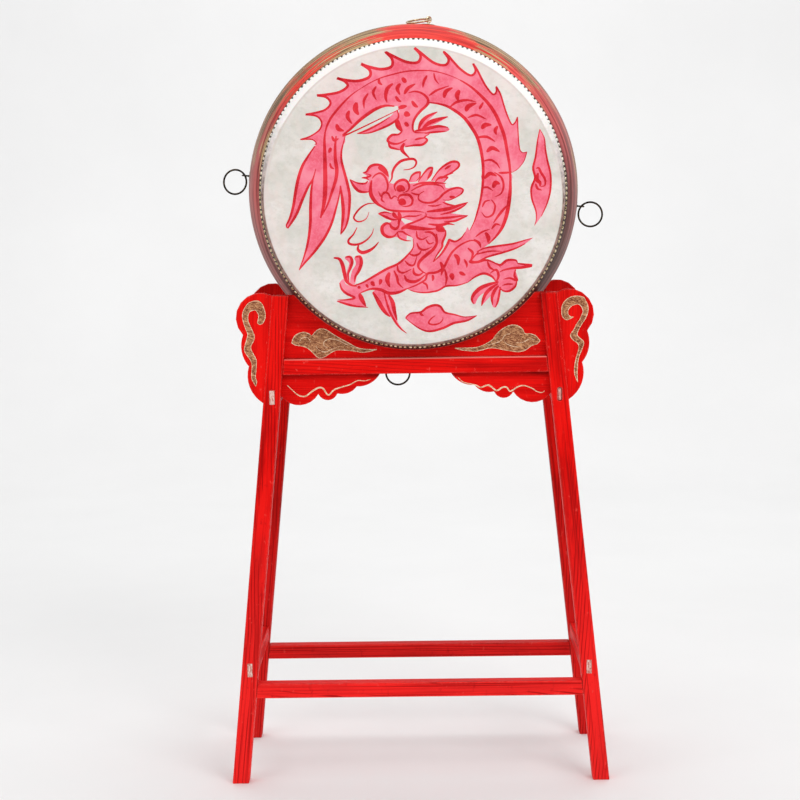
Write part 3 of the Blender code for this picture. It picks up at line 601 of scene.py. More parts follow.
def shell_paint():
    """Red oil paint dragged round the barrel. Golden brown strokes lie over it, broadest high on the
    left and right. The sides and the underside are painted a darker grey brown as shade, darkest
    by the nails, the sides are pinker, and a painted sheen lies along the belly on the sides. The
    ramps over the turn start at the bottom and go by the left side, the top and the right side."""
    material, tree, shader = start_material("shell_paint", Roughness=0.5, Specular_IOR_Level=0.08)
    upright = in_drum_frame(tree)
    x, y, z = (axis_of(tree, upright, axis) for axis in range(3))
    girth = calc(tree, "ARCTAN2", x, z)
    from_top = calc(tree, "ABSOLUTE", girth)
    along = add_node(tree, "CombineXYZ", {"X": from_top, "Y": y, "Z": x}).outputs[0]
    drag = streaks(tree, (0.60, 0.014, 0.40), source=along, detail=4.0, roughness=0.6)
    fine = streaks(tree, (0.55, 0.0032, 0.40), source=along, shift=(3.0, 1.0, 0.0), detail=3.0)
    patch = streaks(tree, (0.34, 0.040, 0.25), source=along, shift=(1.3, 0.4, 0.0), detail=3.0)
    turn = spread(tree, girth, -math.pi, math.pi)
    depth = calc(tree, "ABSOLUTE", y)
    by_belly = spread(tree, depth, 0.125, 0.045)
    red = ramp(tree, drag, (0.38, (0.52, 0.010, 0.008)), (0.50, (0.78, 0.024, 0.015)),
               (0.62, (0.90, 0.060, 0.035)))
    pinkish = ramp(tree, drag, (0.42, (0.22, 0.035, 0.036)), (0.50, (0.50, 0.085, 0.090)),
                   (0.58, (0.72, 0.14, 0.15)))
    dull = ramp(tree, drag, (0.40, (0.055, 0.026, 0.022)), (0.50, (0.13, 0.065, 0.055)),
                (0.60, (0.27, 0.125, 0.115)))
    # Pinker on the left and right sides.
    pinker_sides = ramp(tree, turn, (0.0, 0.22), (0.15, 0.3), (0.25, 0.5), (0.30, 0.35), (0.37, 0.0), (0.57, 0.0),
                 (0.62, 0.45), (0.73, 0.9), (0.81, 0.5), (0.95, 0.2), (1.0, 0.22))
    colour = blend_colour(tree, pinker_sides, red, pinkish)
    # Painted shade: the underside and the sides turn to the darker grey brown.
    shade_below = ramp(tree, turn, (0.0, 0.95), (0.19, 0.80), (0.25, 0.45), (0.27, 0.55), (0.32, 0.55),
                  (0.37, 0.0), (0.61, 0.0), (0.69, 0.25), (0.75, 0.60), (0.81, 0.95), (1.0, 0.95))
    colour = blend_colour(tree, shade_below, colour, dull)
    # Painted shade by the nails on the underside and the sides: nearly black.
    nail_shade_turn = ramp(tree, turn, (0.0, 0.9), (0.13, 0.7), (0.25, 0.1), (0.35, 0.0), (0.63, 0.0), (0.70, 0.3),
                 (0.79, 0.85), (1.0, 0.9))
    nail_shade = calc(tree, "MULTIPLY", nail_shade_turn, spread(tree, depth, 0.110, 0.150))
    colour = blend_colour(tree, nail_shade, colour, (0.045, 0.022, 0.018))
    gold = ramp(tree, fine, (0.40, (0.07, 0.036, 0.015)), (0.50, (0.25, 0.14, 0.056)),
                (0.60, (0.62, 0.42, 0.21)))
    strength = ramp(tree, turn, (0.0, 0.05), (0.23, 0.20), (0.29, 0.49), (0.35, 0.58), (0.45, 0.56),
                    (0.485, 0.30), (0.515, 0.14), (0.535, 0.30), (0.57, 0.62), (0.61, 0.50), (0.67, 0.38),
                    (0.75, 0.22), (1.0, 0.05))
    swept = calc(tree, "ADD", patch, strength)
    outwards = calc(tree, "MULTIPLY_ADD", by_belly, 0.30, swept)
    broken = calc(tree, "MULTIPLY_ADD", fine, 0.65, outwards)
    colour = blend_colour(tree, spread(tree, broken, 1.37, 1.43), colour, gold)
    # Painted sheen: a pale grey highlight along the belly on the sides, where the light grazes.
    sheen_turn = ramp(tree, turn, (0.05, 0.0), (0.15, 0.45), (0.25, 0.75), (0.31, 0.6), (0.37, 0.0), (0.53, 0.0),
                (0.59, 0.2), (0.71, 0.6), (0.79, 0.5), (0.89, 0.0))
    sheen_colour = ramp(tree, fine, (0.40, (0.24, 0.13, 0.12)), (0.60, (0.50, 0.34, 0.32)))
    colour = blend_colour(tree, calc(tree, "MULTIPLY", sheen_turn, by_belly), colour, sheen_colour)
    finish_surface(tree, shader, fine, 0.0003, colour,
                   Roughness=ramp(tree, fine, (0.3, 0.6), (0.7, 0.42)))
    return material


def build_shell():
    """Profile of the barrel: along its outside from front to back, then back inside the wall."""
    rim, wall = 0.003, 0.012
    outside_rows, inside_rows, girth_steps = 61, 31, 288
    depth = np.linspace(-shell_half + rim, shell_half - rim, outside_rows)
    outside = np.stack([barrel(depth), depth], axis=1)
    inside_depth = np.linspace(shell_half, -shell_half, inside_rows)
    inside = np.stack([barrel(inside_depth) - wall, inside_depth], axis=1)
    rims = np.array([[end_radius - rim, shell_half]])
    profile = np.concatenate([outside, rims, inside, rims * [1, -1]])
    shell = lathe("shell", profile, girth_steps, shell_paint())
    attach(shell, "drum")
    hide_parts("drum_shell")


build_shell()


# Hides. Each is one soaked ox hide, stretched over the rim and nailed to the shell, then shaved.
# It dries mottled cream, with a round shoulder and a skirt that puckers between the nails.

hide_gap, hide_thickness, skirt_length, skirt_pucker = 0.0003, 0.0022, 0.017, 0.0005
nail_count = 196
bend_start = 0.2325
hide_stand_off = hide_gap + hide_thickness
face_depth = shell_half + hide_stand_off


def slanted_height(tree, place):
    """How high a place lies, and a little of how far it lies to the right. Painted highlights go where
    this is large, as the light falls from above and a little from the right."""
    return add_node(tree, "VectorMath", {0: place, 1: (0.03, 0.0, 1.0)},
                    operation="DOT_PRODUCT").outputs["Value"]


def hide_skin():
    """Mottled cream rawhide. Its edge is painted nearly white above as a painted highlight, and a
    brownish mauve below as painted shade, and a darker line along the crease above is painted shade.
    Between the nails it is painted nearly black as shade. The edge starts at a radius and the dark
    at a depth, which are not the same below and above."""
    crease_start, crease_end = 0.2355, 0.2375
    edge_below, edge_above, edge_blur = 0.2425, 0.2385, 0.0015
    dark_below, dark_above, dark_blur = 0.1660, 0.1627, 0.0010
    material, tree, shader = start_material("hide", Roughness=0.6, Specular_IOR_Level=0.25,
                                            Subsurface_Weight=0.10, Subsurface_Scale=0.003)
    large = streaks(tree, (0.075, 0.05, 0.06), detail=5.0, roughness=0.62)
    small = streaks(tree, (0.012, 0.010, 0.009), shift=(0.6, 0.1, 0.3), detail=6.0, roughness=0.7)
    tint = streaks(tree, (0.05, 0.05, 0.11), shift=(0.1, 0.9, 0.5), detail=4.0)
    colour = ramp(tree, large, (0.38, (0.67, 0.645, 0.59)), (0.50, (0.75, 0.71, 0.665)),
                  (0.62, (0.82, 0.775, 0.74)))
    colour = blend_colour(tree, ramp(tree, small, (0.40, 0.30), (0.52, 0.0)), colour, (0.54, 0.51, 0.45))
    colour = blend_colour(tree, ramp(tree, tint, (0.48, 0.0), (0.62, 0.50)), colour, (0.82, 0.685, 0.65))
    upright = in_drum_frame(tree)
    x, y, z = (axis_of(tree, upright, axis) for axis in range(3))
    depth = calc(tree, "ABSOLUTE", y)
    level = add_node(tree, "CombineXYZ", {"X": x, "Y": 0.0, "Z": z}).outputs[0]
    radius = add_node(tree, "VectorMath", {0: level}, operation="LENGTH").outputs["Value"]
    # Painted light: raised is the share lit from above. It paints the edge nearly white there, and brownish
    # mauve as shade where it is small.
    uneven = calc(tree, "MULTIPLY_ADD", small, 0.10, slanted_height(tree, upright))
    raised = spread(tree, uneven, 0.03, 0.18)
    # Painted shade: a darker line along the crease of the shoulder, where it is lit above.
    crease_shade = calc(tree, "MULTIPLY", spread(tree, radius, crease_start, crease_end), raised)
    colour = blend_colour(tree, crease_shade, colour, blend_colour(tree, 0.30, colour, (0.56, 0.40, 0.37)))
    # The brownish mauve of the edge below is painted shade.
    shaded_rim = ramp(tree, small, (0.40, (0.16, 0.080, 0.064)), (0.56, (0.36, 0.22, 0.18)))
    rim = blend_colour(tree, raised, shaded_rim, (0.93, 0.89, 0.87))
    edge_radius = spread(tree, raised, 0.0, 1.0, edge_below, edge_above)
    past_edge = calc(tree, "SUBTRACT", radius, edge_radius)
    colour = blend_colour(tree, spread(tree, past_edge, 0.0, edge_blur), colour, rim)
    # Painted shade between and beyond the nails: the hide there is nearly black.
    dark_depth = spread(tree, raised, 0.0, 1.0, dark_below, dark_above)
    past_dark = calc(tree, "SUBTRACT", depth, dark_depth)
    colour = blend_colour(tree, spread(tree, past_dark, 0.0, dark_blur), (0.030, 0.018, 0.012), colour)
    finish_surface(tree, shader, small, 0.0002, colour)
    return material


def hide_profile(skirt_rows):
    """Profile from the middle of the face to the skirt's edge, and back along the shell, and the
    number of its first skirt point. The shoulder is a curve of the second degree from the face to
    the skirt, pulled towards its corner."""
    shoulder_end, skirt_start = shell_half - 0.005, shell_half - 0.007
    first_ring, last_ring, face_rings, shoulder_rows = 0.02, bend_start - 0.0045, 14, 13
    face_radius = np.concatenate([[0.0], np.linspace(first_ring, last_ring, face_rings)])
    face = np.stack([face_radius, np.full(face_radius.size, face_depth)], axis=1)
    turn = np.linspace(0.0, 1.0, shoulder_rows)[:, None]
    start = np.array([[bend_start, face_depth]])
    corner = np.array([[end_radius + hide_thickness, face_depth + 0.0002]])
    end = np.array([[barrel(shoulder_end) + hide_stand_off, shoulder_end]])
    shoulder = start * (1 - turn) ** 2 + corner * 2 * turn * (1 - turn) + end * turn ** 2
    depth = np.linspace(skirt_start, shell_half - skirt_length, skirt_rows)
    skirt = np.stack([barrel(depth) + hide_stand_off - 0.0001, depth], axis=1)
    under = np.stack([barrel(depth[::-1]) + hide_gap, depth[::-1]], axis=1)
    last = np.array([[end_radius - 0.003, shell_half + hide_gap], [0.0, shell_half + hide_gap]])
    return np.concatenate([face, shoulder, skirt, under, last]), face_radius.size + turn.size


def build_hides():
    """Turn the profile for both ends. The skirt sinks at each nail: radius falls by the pucker
    times the square of the cosine of half the nails' count times the angle. Its cut edge wanders
    by two sines of the angle."""
    skin = hide_skin()
    skirt_rows, steps_per_nail = 12, 4
    edge_width, edge_trim = 0.004, 0.0010
    profile, first_skirt = hide_profile(skirt_rows)
    radius, depth = profile.T
    steps = nail_count * steps_per_nail
    angle = np.linspace(0.0, 2 * math.pi, steps, endpoint=False)
    ripple = np.cos(nail_count / 2 * angle) ** 2
    near = np.zeros(len(radius))
    near[first_skirt:first_skirt + skirt_rows] = np.linspace(0.15, 1.0, skirt_rows)
    r = radius[:, None] - skirt_pucker * near[:, None] * ripple
    edge_wander = 0.0006 * np.sin(5 * angle) + 0.0004 * np.sin(13 * angle + 1.0)
    lower = np.clip((shell_half - skirt_length + edge_width - depth) / edge_width, 0, 1)
    for label, end in (("front", -1), ("back", 1)):
        y = end * (depth[:, None] + lower[:, None] * (edge_wander + edge_trim))
        points = np.stack([r * np.cos(angle), y, r * np.sin(angle)], axis=-1)
        faces = grid_faces(len(radius), steps, closed_columns=True)
        hide = add_piece(f"hide_{label}", lean_drum(points.reshape(-1, 3)), faces, skin)
        merge_and_face_out(hide.data)
        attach(hide, "drum")
        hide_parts(f"drumhead_{label}")


build_hides()


# Painting on the front hide. A coiled dragon with flames, the usual figure on such drums, is laid
# in with thin pink colour and drawn over with red brush strokes. Its points are in millimetres from
# the hide's middle, and a point given twice makes a sharp corner.


def washed_paint(name, faint, full, strong, roughness):
    """Thin paint that has pooled and dried in paler and stronger patches, with the hide under it."""
    material, tree, shader = start_material(name, Roughness=roughness, Specular_IOR_Level=0.15)
    pooled = streaks(tree, (0.035, 0.035, 0.035), detail=4.0, roughness=0.6)
    dried = streaks(tree, (0.0035, 0.0035, 0.0035), shift=(0.2, 0.4, 0.7), detail=4.0)
    colour = ramp(tree, pooled, (0.38, faint), (0.5, full), (0.62, strong))
    colour = blend_colour(tree, ramp(tree, dried, (0.40, 0.40), (0.52, 0.0)), colour, faint)
    finish_surface(tree, shader, dried, 0.0001, colour)
    return material


def on_hide(rows, base):
    """Millimetres on the painted face to metres. Where the hide bends towards its edge, the paint
    sinks with it, by the square of the way past the bend."""
    bend_width, bend_drop = 0.0246, 0.0075
    x, z = rows[:, 0] / 1000, rows[:, 1] / 1000
    past = np.clip(np.hypot(x, z) - bend_start, 0.0, None) / bend_width
    lift = (base + rows[:, 2]) / 1000
    return lean_drum(np.stack([x, -(face_depth + lift) + bend_drop * past ** 2, z], axis=1))


coat = 0.002


def paint_areas(name, areas, base, material):
    """Flat areas inside smooth closed outlines, cut into triangles, each a hair above the last."""
    steps_per_point, inside_only, smallest_gap = 5, 1, 0.001
    points, faces, count = [], [], 0
    for index, outline in enumerate(areas):
        smooth = through(outline, len(outline) * steps_per_point, closed=True)
        edge = [Vector(point) for point in smooth]
        ring = list(range(len(edge)))
        corners, _, triangles, *_ = delaunay_2d_cdt(edge, [], [ring], inside_only, smallest_gap)
        faces.extend(np.asarray(triangles) + count)
        rows = np.column_stack([np.array(corners), np.full(len(corners), coat * index)])
        points.append(on_hide(rows, base))
        count += len(corners)
    piece = add_piece(name, np.concatenate(points), faces, material)
    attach(piece, "drum")


def paint_strokes(name, strokes, base, material):
    """Brush strokes of (width, points): full in the middle and pointed at the ends. Strokes that
    may cross lie a hair above each other, up to a limit."""
    brush_spread, stroke_crown, most_coats = 1.3, 0.03, 30
    steps_per_point, columns = 6, 4
    grids = []
    for index, (width, points) in enumerate(strokes):
        count = steps_per_point * len(points)
        widths = brush_spread * width * taper(count, 0.35, 0.2, 0.4)
        grid = stroke_grid(through(points, count), widths, columns)
        grid[..., 2] = grid[..., 2] * stroke_crown + coat * (index % most_coats)
        grids.append(grid)
    lay_paint(name, grids, lambda rows: on_hide(rows, base), material, "drum")


# The back fin runs in hooked waves from the tail over the top and down the right side.
back_fin = [(-156, 84), (-156, 88), (-163, 93), (-181, 93), (-181, 93), (-165, 98), (-150, 108), (-146, 120),
            (-154, 130), (-172, 133), (-172, 133), (-158, 135), (-140, 140), (-131, 150), (-138, 160),
            (-153, 163), (-153, 163), (-138, 164), (-116, 168), (-103, 177), (-108, 185), (-120, 190),
            (-120, 190), (-108, 187), (-86, 185), (-68, 191), (-67, 202), (-81, 212), (-81, 212), (-68, 207),
            (-48, 203), (-32, 207), (-31, 219), (-41, 230), (-41, 230), (-30, 224), (-8, 214), (10, 213),
            (15, 224), (5, 236), (5, 236), (14, 229), (36, 212), (54, 208), (60, 217), (52, 229), (52, 229),
            (60, 222), (78, 202), (95, 191), (103, 198), (99, 210), (99, 210), (106, 199), (118, 176),
            (130, 161), (136, 164), (136, 173), (136, 173), (143, 160), (151, 134), (160, 113), (166, 115),
            (170, 124), (170, 124), (171, 98), (173, 74), (178, 67), (185, 68), (185, 68), (180, 53),
            (169, 40), (158, 35)]
inner_back = [(-28, 144), (-42, 145), (-56, 141), (-70, 133), (-85, 122), (-98, 110), (-108, 99)]
inner_front = [(28, 149), (42, 147), (56, 143), (70, 135), (84, 124), (96, 108), (105, 92), (111, 70),
               (114, 45), (113, 15), (109, -10), (104, -28), (99, -43), (92, -57)]
outer_side = [(158, 35), (158, 12), (156, -10), (152, -32), (145, -52), (135, -67), (122, -80)]
tail_outer = [(-158, 82), (-170, 65), (-179, 50), (-186, 30), (-191, 8), (-195, -14), (-201, -33),
              (-207, -45), (-205, -50)]
tail_outer_back = [(-205, -50), (-198, -40), (-189, -25), (-180, -4), (-170, 17), (-162, 30), (-157, 46)]
tail_long = [(-161, 34), (-165, 12), (-167, -15), (-168, -42), (-172, -70), (-179, -95), (-188, -118)]
tail_long_back = [(-188, -118), (-178, -106), (-160, -86), (-144, -64), (-133, -42), (-126, -20),
                  (-120, 2), (-118, 18)]
tail_inner = [(-118, 18), (-115, -5), (-114, -25), (-116, -44), (-119, -61)]
tail_inner_back = [(-119, -61), (-110, -48), (-105, -28), (-103, 0), (-106, 20), (-111, 40), (-115, 58),
                   (-115, 72), (-112, 85), (-108, 99)]
top_paw = [(-22, 150), (-20, 138), (-24, 122), (-19, 104), (-30, 98), (-38, 94), (-40, 87), (-37, 80),
           (-28, 76), (-19, 73), (-6, 62), (-6, 62), (-14, 74), (-12, 80), (3, 80), (16, 82), (24, 89),
           (21, 94), (28, 99), (12, 101), (3, 104), (1, 114), (6, 126), (16, 138), (28, 149)]
trunk = [(158, 35), (158, 12), (156, -10), (152, -32), (145, -52), (135, -67), (122, -80), (106, -92),
         (93, -106), (93, -109), (104, -109), (118, -106), (132, -111), (142, -118), (140, -140),
         (134, -142), (127, -133), (114, -128), (100, -133), (88, -142), (70, -147), (52, -148),
         (38, -155), (18, -158), (0, -156), (-12, -151), (-26, -157), (-42, -158), (-56, -152),
         (-72, -151), (-90, -158), (-104, -154), (-100, -145), (-84, -140), (-64, -129), (-44, -118),
         (-26, -110), (-12, -98), (-1, -84), (-1, -70), (-12, -62), (-24, -50), (4, -42), (38, -46),
         (52, -56), (52, -64), (47, -76), (46, -84), (38, -96), (31, -108), (31, -108), (44, -96),
         (53, -83), (58, -72), (58, -72), (68, -75), (78, -69), (84, -60), (88, -51), (88, -51),
         (92, -57), (99, -43), (104, -28), (109, -10), (113, 15), (114, 35)]
head = [(-102, 28), (-102, 28), (-92, 22), (-80, 20), (-71, 25), (-83, 30), (-83, 30), (-74, 32),
        (-81, 38), (-81, 38), (-74, 42), (-67, 49), (-57, 51), (-46, 45), (-39, 34), (-39, 24), (-32, 20),
        (-22, 26), (-11, 25), (-5, 20), (8, 21), (30, 21), (50, 20), (54, 12), (68, 13), (81, 10),
        (80, 3), (70, -4), (52, -10), (66, -17), (89, -12), (89, -12), (74, -23), (58, -28), (89, -33),
        (89, -33), (74, -39), (62, -43), (48, -50), (20, -46), (-14, -37), (-22, -30), (-30, -25),
        (-45, -22), (-58, -14), (-66, -6), (-72, 8), (-84, 7), (-95, 16)]
jaw = [(-57, -28), (-57, -28), (-44, -27), (-24, -27), (-20, -38), (-12, -50), (-12, -72), (-22, -68),
       (-34, -66), (-46, -64), (-53, -56), (-50, -47), (-40, -43), (-36, -40), (-46, -36)]
brow_plumes = [[(-6, 23), (-2, 32), (5, 37), (12, 38), (12, 38), (11, 30), (5, 23)],
               [(8, 22), (18, 36), (26, 44), (32, 45), (32, 45), (30, 34), (22, 24)],
               [(30, 24), (42, 40), (53, 49), (64, 54), (73, 53), (75, 47), (68, 40), (56, 33), (42, 26)],
               [(36, 22), (44, 29), (57, 29), (57, 29), (50, 21)]]
long_plume = [(92, -106), (92, -106), (103, -92), (118, -86), (140, -83), (162, -80), (180, -75),
              (194, -71), (194, -71), (182, -80), (165, -88), (142, -95), (120, -101), (104, -108)]
thin_frond = [(-89, 101), (-89, 101), (-72, 107), (-52, 117), (-36, 127), (-24, 138), (-22, 126), (-34, 116),
              (-52, 108), (-70, 102)]
top_claws = [[(9, 106), (14, 117), (24, 128), (42, 134), (42, 134), (29, 123), (17, 108)],
             [(16, 108), (28, 117), (42, 122), (58, 126), (58, 126), (44, 118), (28, 111)],
             [(4, 103), (24, 108), (46, 111), (60, 107), (54, 102), (30, 100)]]
fore_foot = [(-122, -139), (-122, -139), (-118, -152), (-108, -160), (-97, -165), (-112, -167), (-127, -170),
             (-127, -170), (-112, -175), (-96, -179), (-78, -181), (-78, -181), (-85, -169), (-89, -156),
             (-92, -145), (-104, -145), (-112, -142), (-116, -134)]
fore_toes = [[(-113, -100), (-107, -97), (-101, -102), (-102, -112), (-106, -124), (-106, -140), (-111, -138),
              (-110, -122), (-106, -108)],
             [(-97, -99), (-90, -97), (-85, -103), (-87, -114), (-93, -126), (-97, -142), (-105, -142),
              (-102, -122), (-95, -110)]]
hind_foot = [(134, -112), (142, -114), (152, -107), (166, -107), (169, -111), (192, -116), (192, -116),
             (176, -119), (166, -122), (170, -138), (166, -146), (162, -154), (148, -158), (138, -152),
             (134, -140)]
hind_toes = [[(138, -142), (124, -146), (110, -151), (100, -158), (94, -170), (99, -179), (99, -179),
              (105, -167), (114, -160), (128, -154)],
             [(138, -146), (126, -152), (116, -162), (111, -180), (111, -180), (120, -170), (132, -158)],
             [(140, -148), (132, -156), (127, -168), (128, -182), (134, -183), (137, -170), (140, -158)]]
knee_plumes = [(-68, -156), (-54, -152), (-42, -160), (-36, -168), (-32, -188), (-27, -208), (-13, -225),
               (-13, -225), (-26, -213), (-38, -198), (-48, -189), (-58, -174)]
flame = [(206, 104), (206, 104), (202, 84), (199, 60), (195, 42), (198, 26), (192, 10), (193, -8), (199, -26),
         (200, -40), (197, -51), (197, -51), (208, -36), (218, -14), (223, 8), (223, 32), (218, 54),
         (215, 72), (213, 90)]
cloud = [(-15, -200), (-7, -192), (10, -190), (20, -183), (32, -179), (42, -181), (50, -191), (66, -195),
         (82, -199), (102, -197), (102, -197), (86, -205), (64, -209), (46, -217), (24, -222), (6, -216)]

coil_join = [(10, 147), (-10, 146)]
body = (back_fin + [(158, 20), (158, 20), (112, 20), (112, 20)] + inner_front[8::-1] + coil_join
        + inner_back + [(-113, 84)])
outer_frond = tail_outer + tail_outer_back + [(-148, 85)]
middle_frond = [(-150, 86)] + tail_long + tail_long_back + [(-120, 86)]
inner_frond = [(-124, 90)] + tail_inner + tail_inner_back

# Red strokes: the long outlines first, then the drawing of head and feet, then scales and folds.
outlines = [
    (3.6, back_fin), (4.2, inner_back + [(-20, 139)]), (4.2, inner_front), (5.0, outer_side),
    (4.0, tail_outer), (3.6, tail_outer_back), (3.8, tail_long), (3.4, tail_long_back), (4.4, tail_inner),
    (3.6, tail_inner_back), (2.6, thin_frond[1:5]), (2.8, thin_frond[5:] + thin_frond[:1]),
    (5.6, [(-151, -34), (-146, -15), (-143, 5), (-142, 32), (-142, 62), (-142, 92), (-140, 108)]),
    (3.0, [(-142, 96), (-139, 110), (-132, 125), (-122, 138), (-110, 151), (-97, 163), (-82, 173)]),
    (1.7, [(-88, 169), (-70, 180), (-50, 189), (-28, 195), (-8, 199), (14, 200), (34, 199), (54, 194),
           (72, 187), (88, 178)]),
    (4.4, [(78, 184), (94, 174), (110, 160), (124, 145), (135, 128), (143, 110), (149, 92), (153, 70),
           (157, 45), (158, 22), (157, 0), (153, -24)]),
    (4.6, [(-123, 98), (-125, 80), (-125, 60), (-123, 44), (-125, 28), (-131, 10), (-139, -12), (-150, -32)]),
    (3.4, [(-5, 165), (6, 167), (18, 163), (26, 154), (24, 145), (14, 136), (5, 125), (1, 113), (3, 103),
           (14, 101), (28, 101)]), (7.0, [(-25, 124), (-22, 112), (-16, 104)]),
    (3.2, [(-16, 104), (-22, 99), (-33, 98), (-40, 90), (-34, 85), (-24, 84), (-14, 88), (-9, 91)]),
    (3.0, [(-39, 87), (-36, 79), (-27, 76), (-20, 74)]), (5.0, [(-13, 85), (-17, 77), (-15, 71), (-5, 61)]),
    (3.0, [(-12, 79), (2, 81), (16, 82), (24, 89), (20, 94), (28, 99)]),
    (2.6, [(4, 90), (12, 92), (21, 93)]), (4.6, [(10, 107), (15, 118), (25, 127), (41, 134)]),
    (5.4, [(17, 108), (28, 117), (42, 122), (58, 126)]), (4.2, [(4, 104), (22, 107), (42, 111), (58, 109)]),
    (2.6, [(20, 100), (38, 102), (56, 103)]), (3.4, trunk[7:14]), (3.2, trunk[15:20]), (2.4, trunk[19:26]),
    (4.4, trunk[25:31]), (3.2, trunk[32:40]), (3.0, trunk[44:50]), (3.2, trunk[50:58]),
    (4.2, [(37, -62), (38, -76), (32, -87), (21, -96), (10, -106), (7, -115), (12, -122), (20, -127)]),
    (3.2, [(-14, -152), (2, -146), (18, -137), (22, -127), (36, -125), (48, -118), (55, -105), (63, -92),
           (76, -81), (92, -74), (102, -76), (109, -85)]), (2.6, long_plume[2:8]),
    (2.6, long_plume[9:] + long_plume[:1]), (2.2, [(101, -97), (122, -92), (144, -92)]), (2.8, flame[1:11]),
    (2.6, flame[12:] + flame[:1]), (3.2, cloud[:10]), (3.2, cloud[10:] + cloud[:1]),
    (3.2, [(200, 41), (204, 42), (208, 34), (214, 24), (214, 14), (207, 12)]),
    (5.0, [(203, 34), (201, 24), (206, 18), (206, 12)]), (3.0, [(199, 17), (202, 9), (209, 6)]),
    (2.4, [(34, -196), (27, -201), (23, -208), (30, -211), (40, -209), (46, -203), (46, -199)]),
    (3.2, [(9, -190), (11, -194), (15, -196)]),
]
head_strokes = [
    (3.4, [(-81, 38), (-75, 40), (-69, 48), (-60, 51), (-50, 49), (-42, 41), (-39, 31)]),
    (6.0, [(-56, 47), (-47, 42), (-40, 32)]),
    (2.8, [(-66, 29), (-60, 35), (-52, 37), (-45, 31), (-41, 20), (-42, 10), (-47, 4), (-54, 4)]),
    (5.0, [(-67, 26), (-69, 12), (-68, 2), (-62, -8), (-54, -15), (-44, -20)]),
    (2.4, [(-83, 30), (-74, 31), (-68, 34), (-76, 37)]),
    (2.4, [(-73, 25), (-78, 21), (-90, 22), (-102, 28)]),
    (3.6, [(-102, 28), (-96, 17), (-88, 9), (-78, 7), (-69, 8)]), (2.2, [(-83, 30), (-76, 30), (-71, 26)]),
    (3.4, [(-38, 22), (-34, 29), (-33, 38), (-28, 48), (-19, 56), (-8, 59), (2, 59), (6, 54), (3, 47),
           (-5, 43), (-15, 42)]),
    (2.4, [(-62, -11), (-74, -12), (-84, -17), (-92, -25), (-97, -34), (-92, -40), (-84, -40), (-76, -35),
           (-72, -25)]),
    (3.4, [(-28, 8), (-30, 16), (-25, 23), (-16, 26), (-9, 23), (-6, 15), (-9, 8), (-17, 5)]),
    (9.0, [(-27, 11), (-19, 12), (-14, 8)]),
    (3.4, [(-25, -8), (-22, 0), (-14, 2), (-6, 1), (-1, -6), (-3, -14), (-11, -17), (-19, -16)]),
    (9.0, [(-24, -9), (-17, -10), (-12, -13)]),
    (2.6, [(-56, 8), (-52, 0), (-47, 6), (-40, 4), (-36, -4), (-30, 0), (-25, -3)]),
    (2.4, [(-50, 0), (-51, -6), (-46, -10)]),
    (3.0, [(-54, -14), (-44, -21), (-30, -24), (-12, -25), (4, -25), (18, -27)]),
    (3.0, [(-57, -28), (-46, -33), (-34, -38), (-24, -38)]), (2.4, [(-57, -28), (-46, -26), (-36, -28)]),
    (5.0, [(-33, -26), (-30, -32), (-24, -37)]), (5.0, [(-24, -26), (-22, -35), (-25, -46)]),
    (2.2, [(-20, -36), (-10, -33), (4, -33), (14, -30)]),
    (2.6, [(-20, -52), (-8, -46), (8, -40), (20, -34), (20, -27)]),
    (4.4, [(-37, -46), (-44, -44), (-51, -50), (-50, -60), (-42, -66), (-32, -65), (-26, -58)]),
    (4.0, [(-38, -44), (-36, -50), (-30, -53), (-25, -50), (-22, -40)]),
    (2.4, [(-26, -58), (-24, -67), (-14, -72), (-4, -73)]),
    (2.6, [(-26, -58), (-18, -58), (-12, -62), (-4, -66)]),
    (5.6, [(-20, -54), (-12, -50), (2, -52), (20, -54), (36, -54)]),
    (9.0, [(36, -52), (44, -54), (51, -58)]),
    (2.6, [(-3, 8), (8, 14), (20, 18), (34, 18), (46, 15), (51, 8)]),
    (2.8, [(18, 7), (10, 2), (9, -6), (18, -11), (31, -11), (42, -5), (50, 3), (60, 9), (72, 12), (81, 9),
           (79, 3), (70, -3), (58, -8), (48, -7)]), (3.4, [(59, -2), (63, -3), (68, -2)]),
    (3.0, [(0, 16), (12, 20), (28, 21), (44, 20), (54, 19)]), (2.4, [(-3, 5), (6, 2), (12, 3)]),
    (2.8, brow_plumes[0]), (2.6, brow_plumes[1]), (3.0, brow_plumes[2]), (2.6, brow_plumes[3]),
    (2.6, [(46, 27), (56, 33), (66, 36)]), (2.6, [(24, 27), (27, 33), (30, 41)]),
    (3.0, [(52, 42), (58, 46), (62, 48)]), (4.6, [(22, -26), (42, -24), (60, -21), (76, -16), (89, -12)]),
    (2.8, [(44, -31), (62, -27), (78, -20), (87, -14)]),
    (3.0, [(18, -33), (34, -37), (58, -36), (76, -34), (89, -33)]),
    (2.8, [(50, -43), (66, -42), (80, -37), (88, -34)]), (3.4, [(24, -46), (42, -48), (56, -46), (67, -48)]),
    (2.4, [(48, -11), (58, -15), (70, -17)]), (2.0, [(24, -16), (36, -17), (46, -14)]),
]
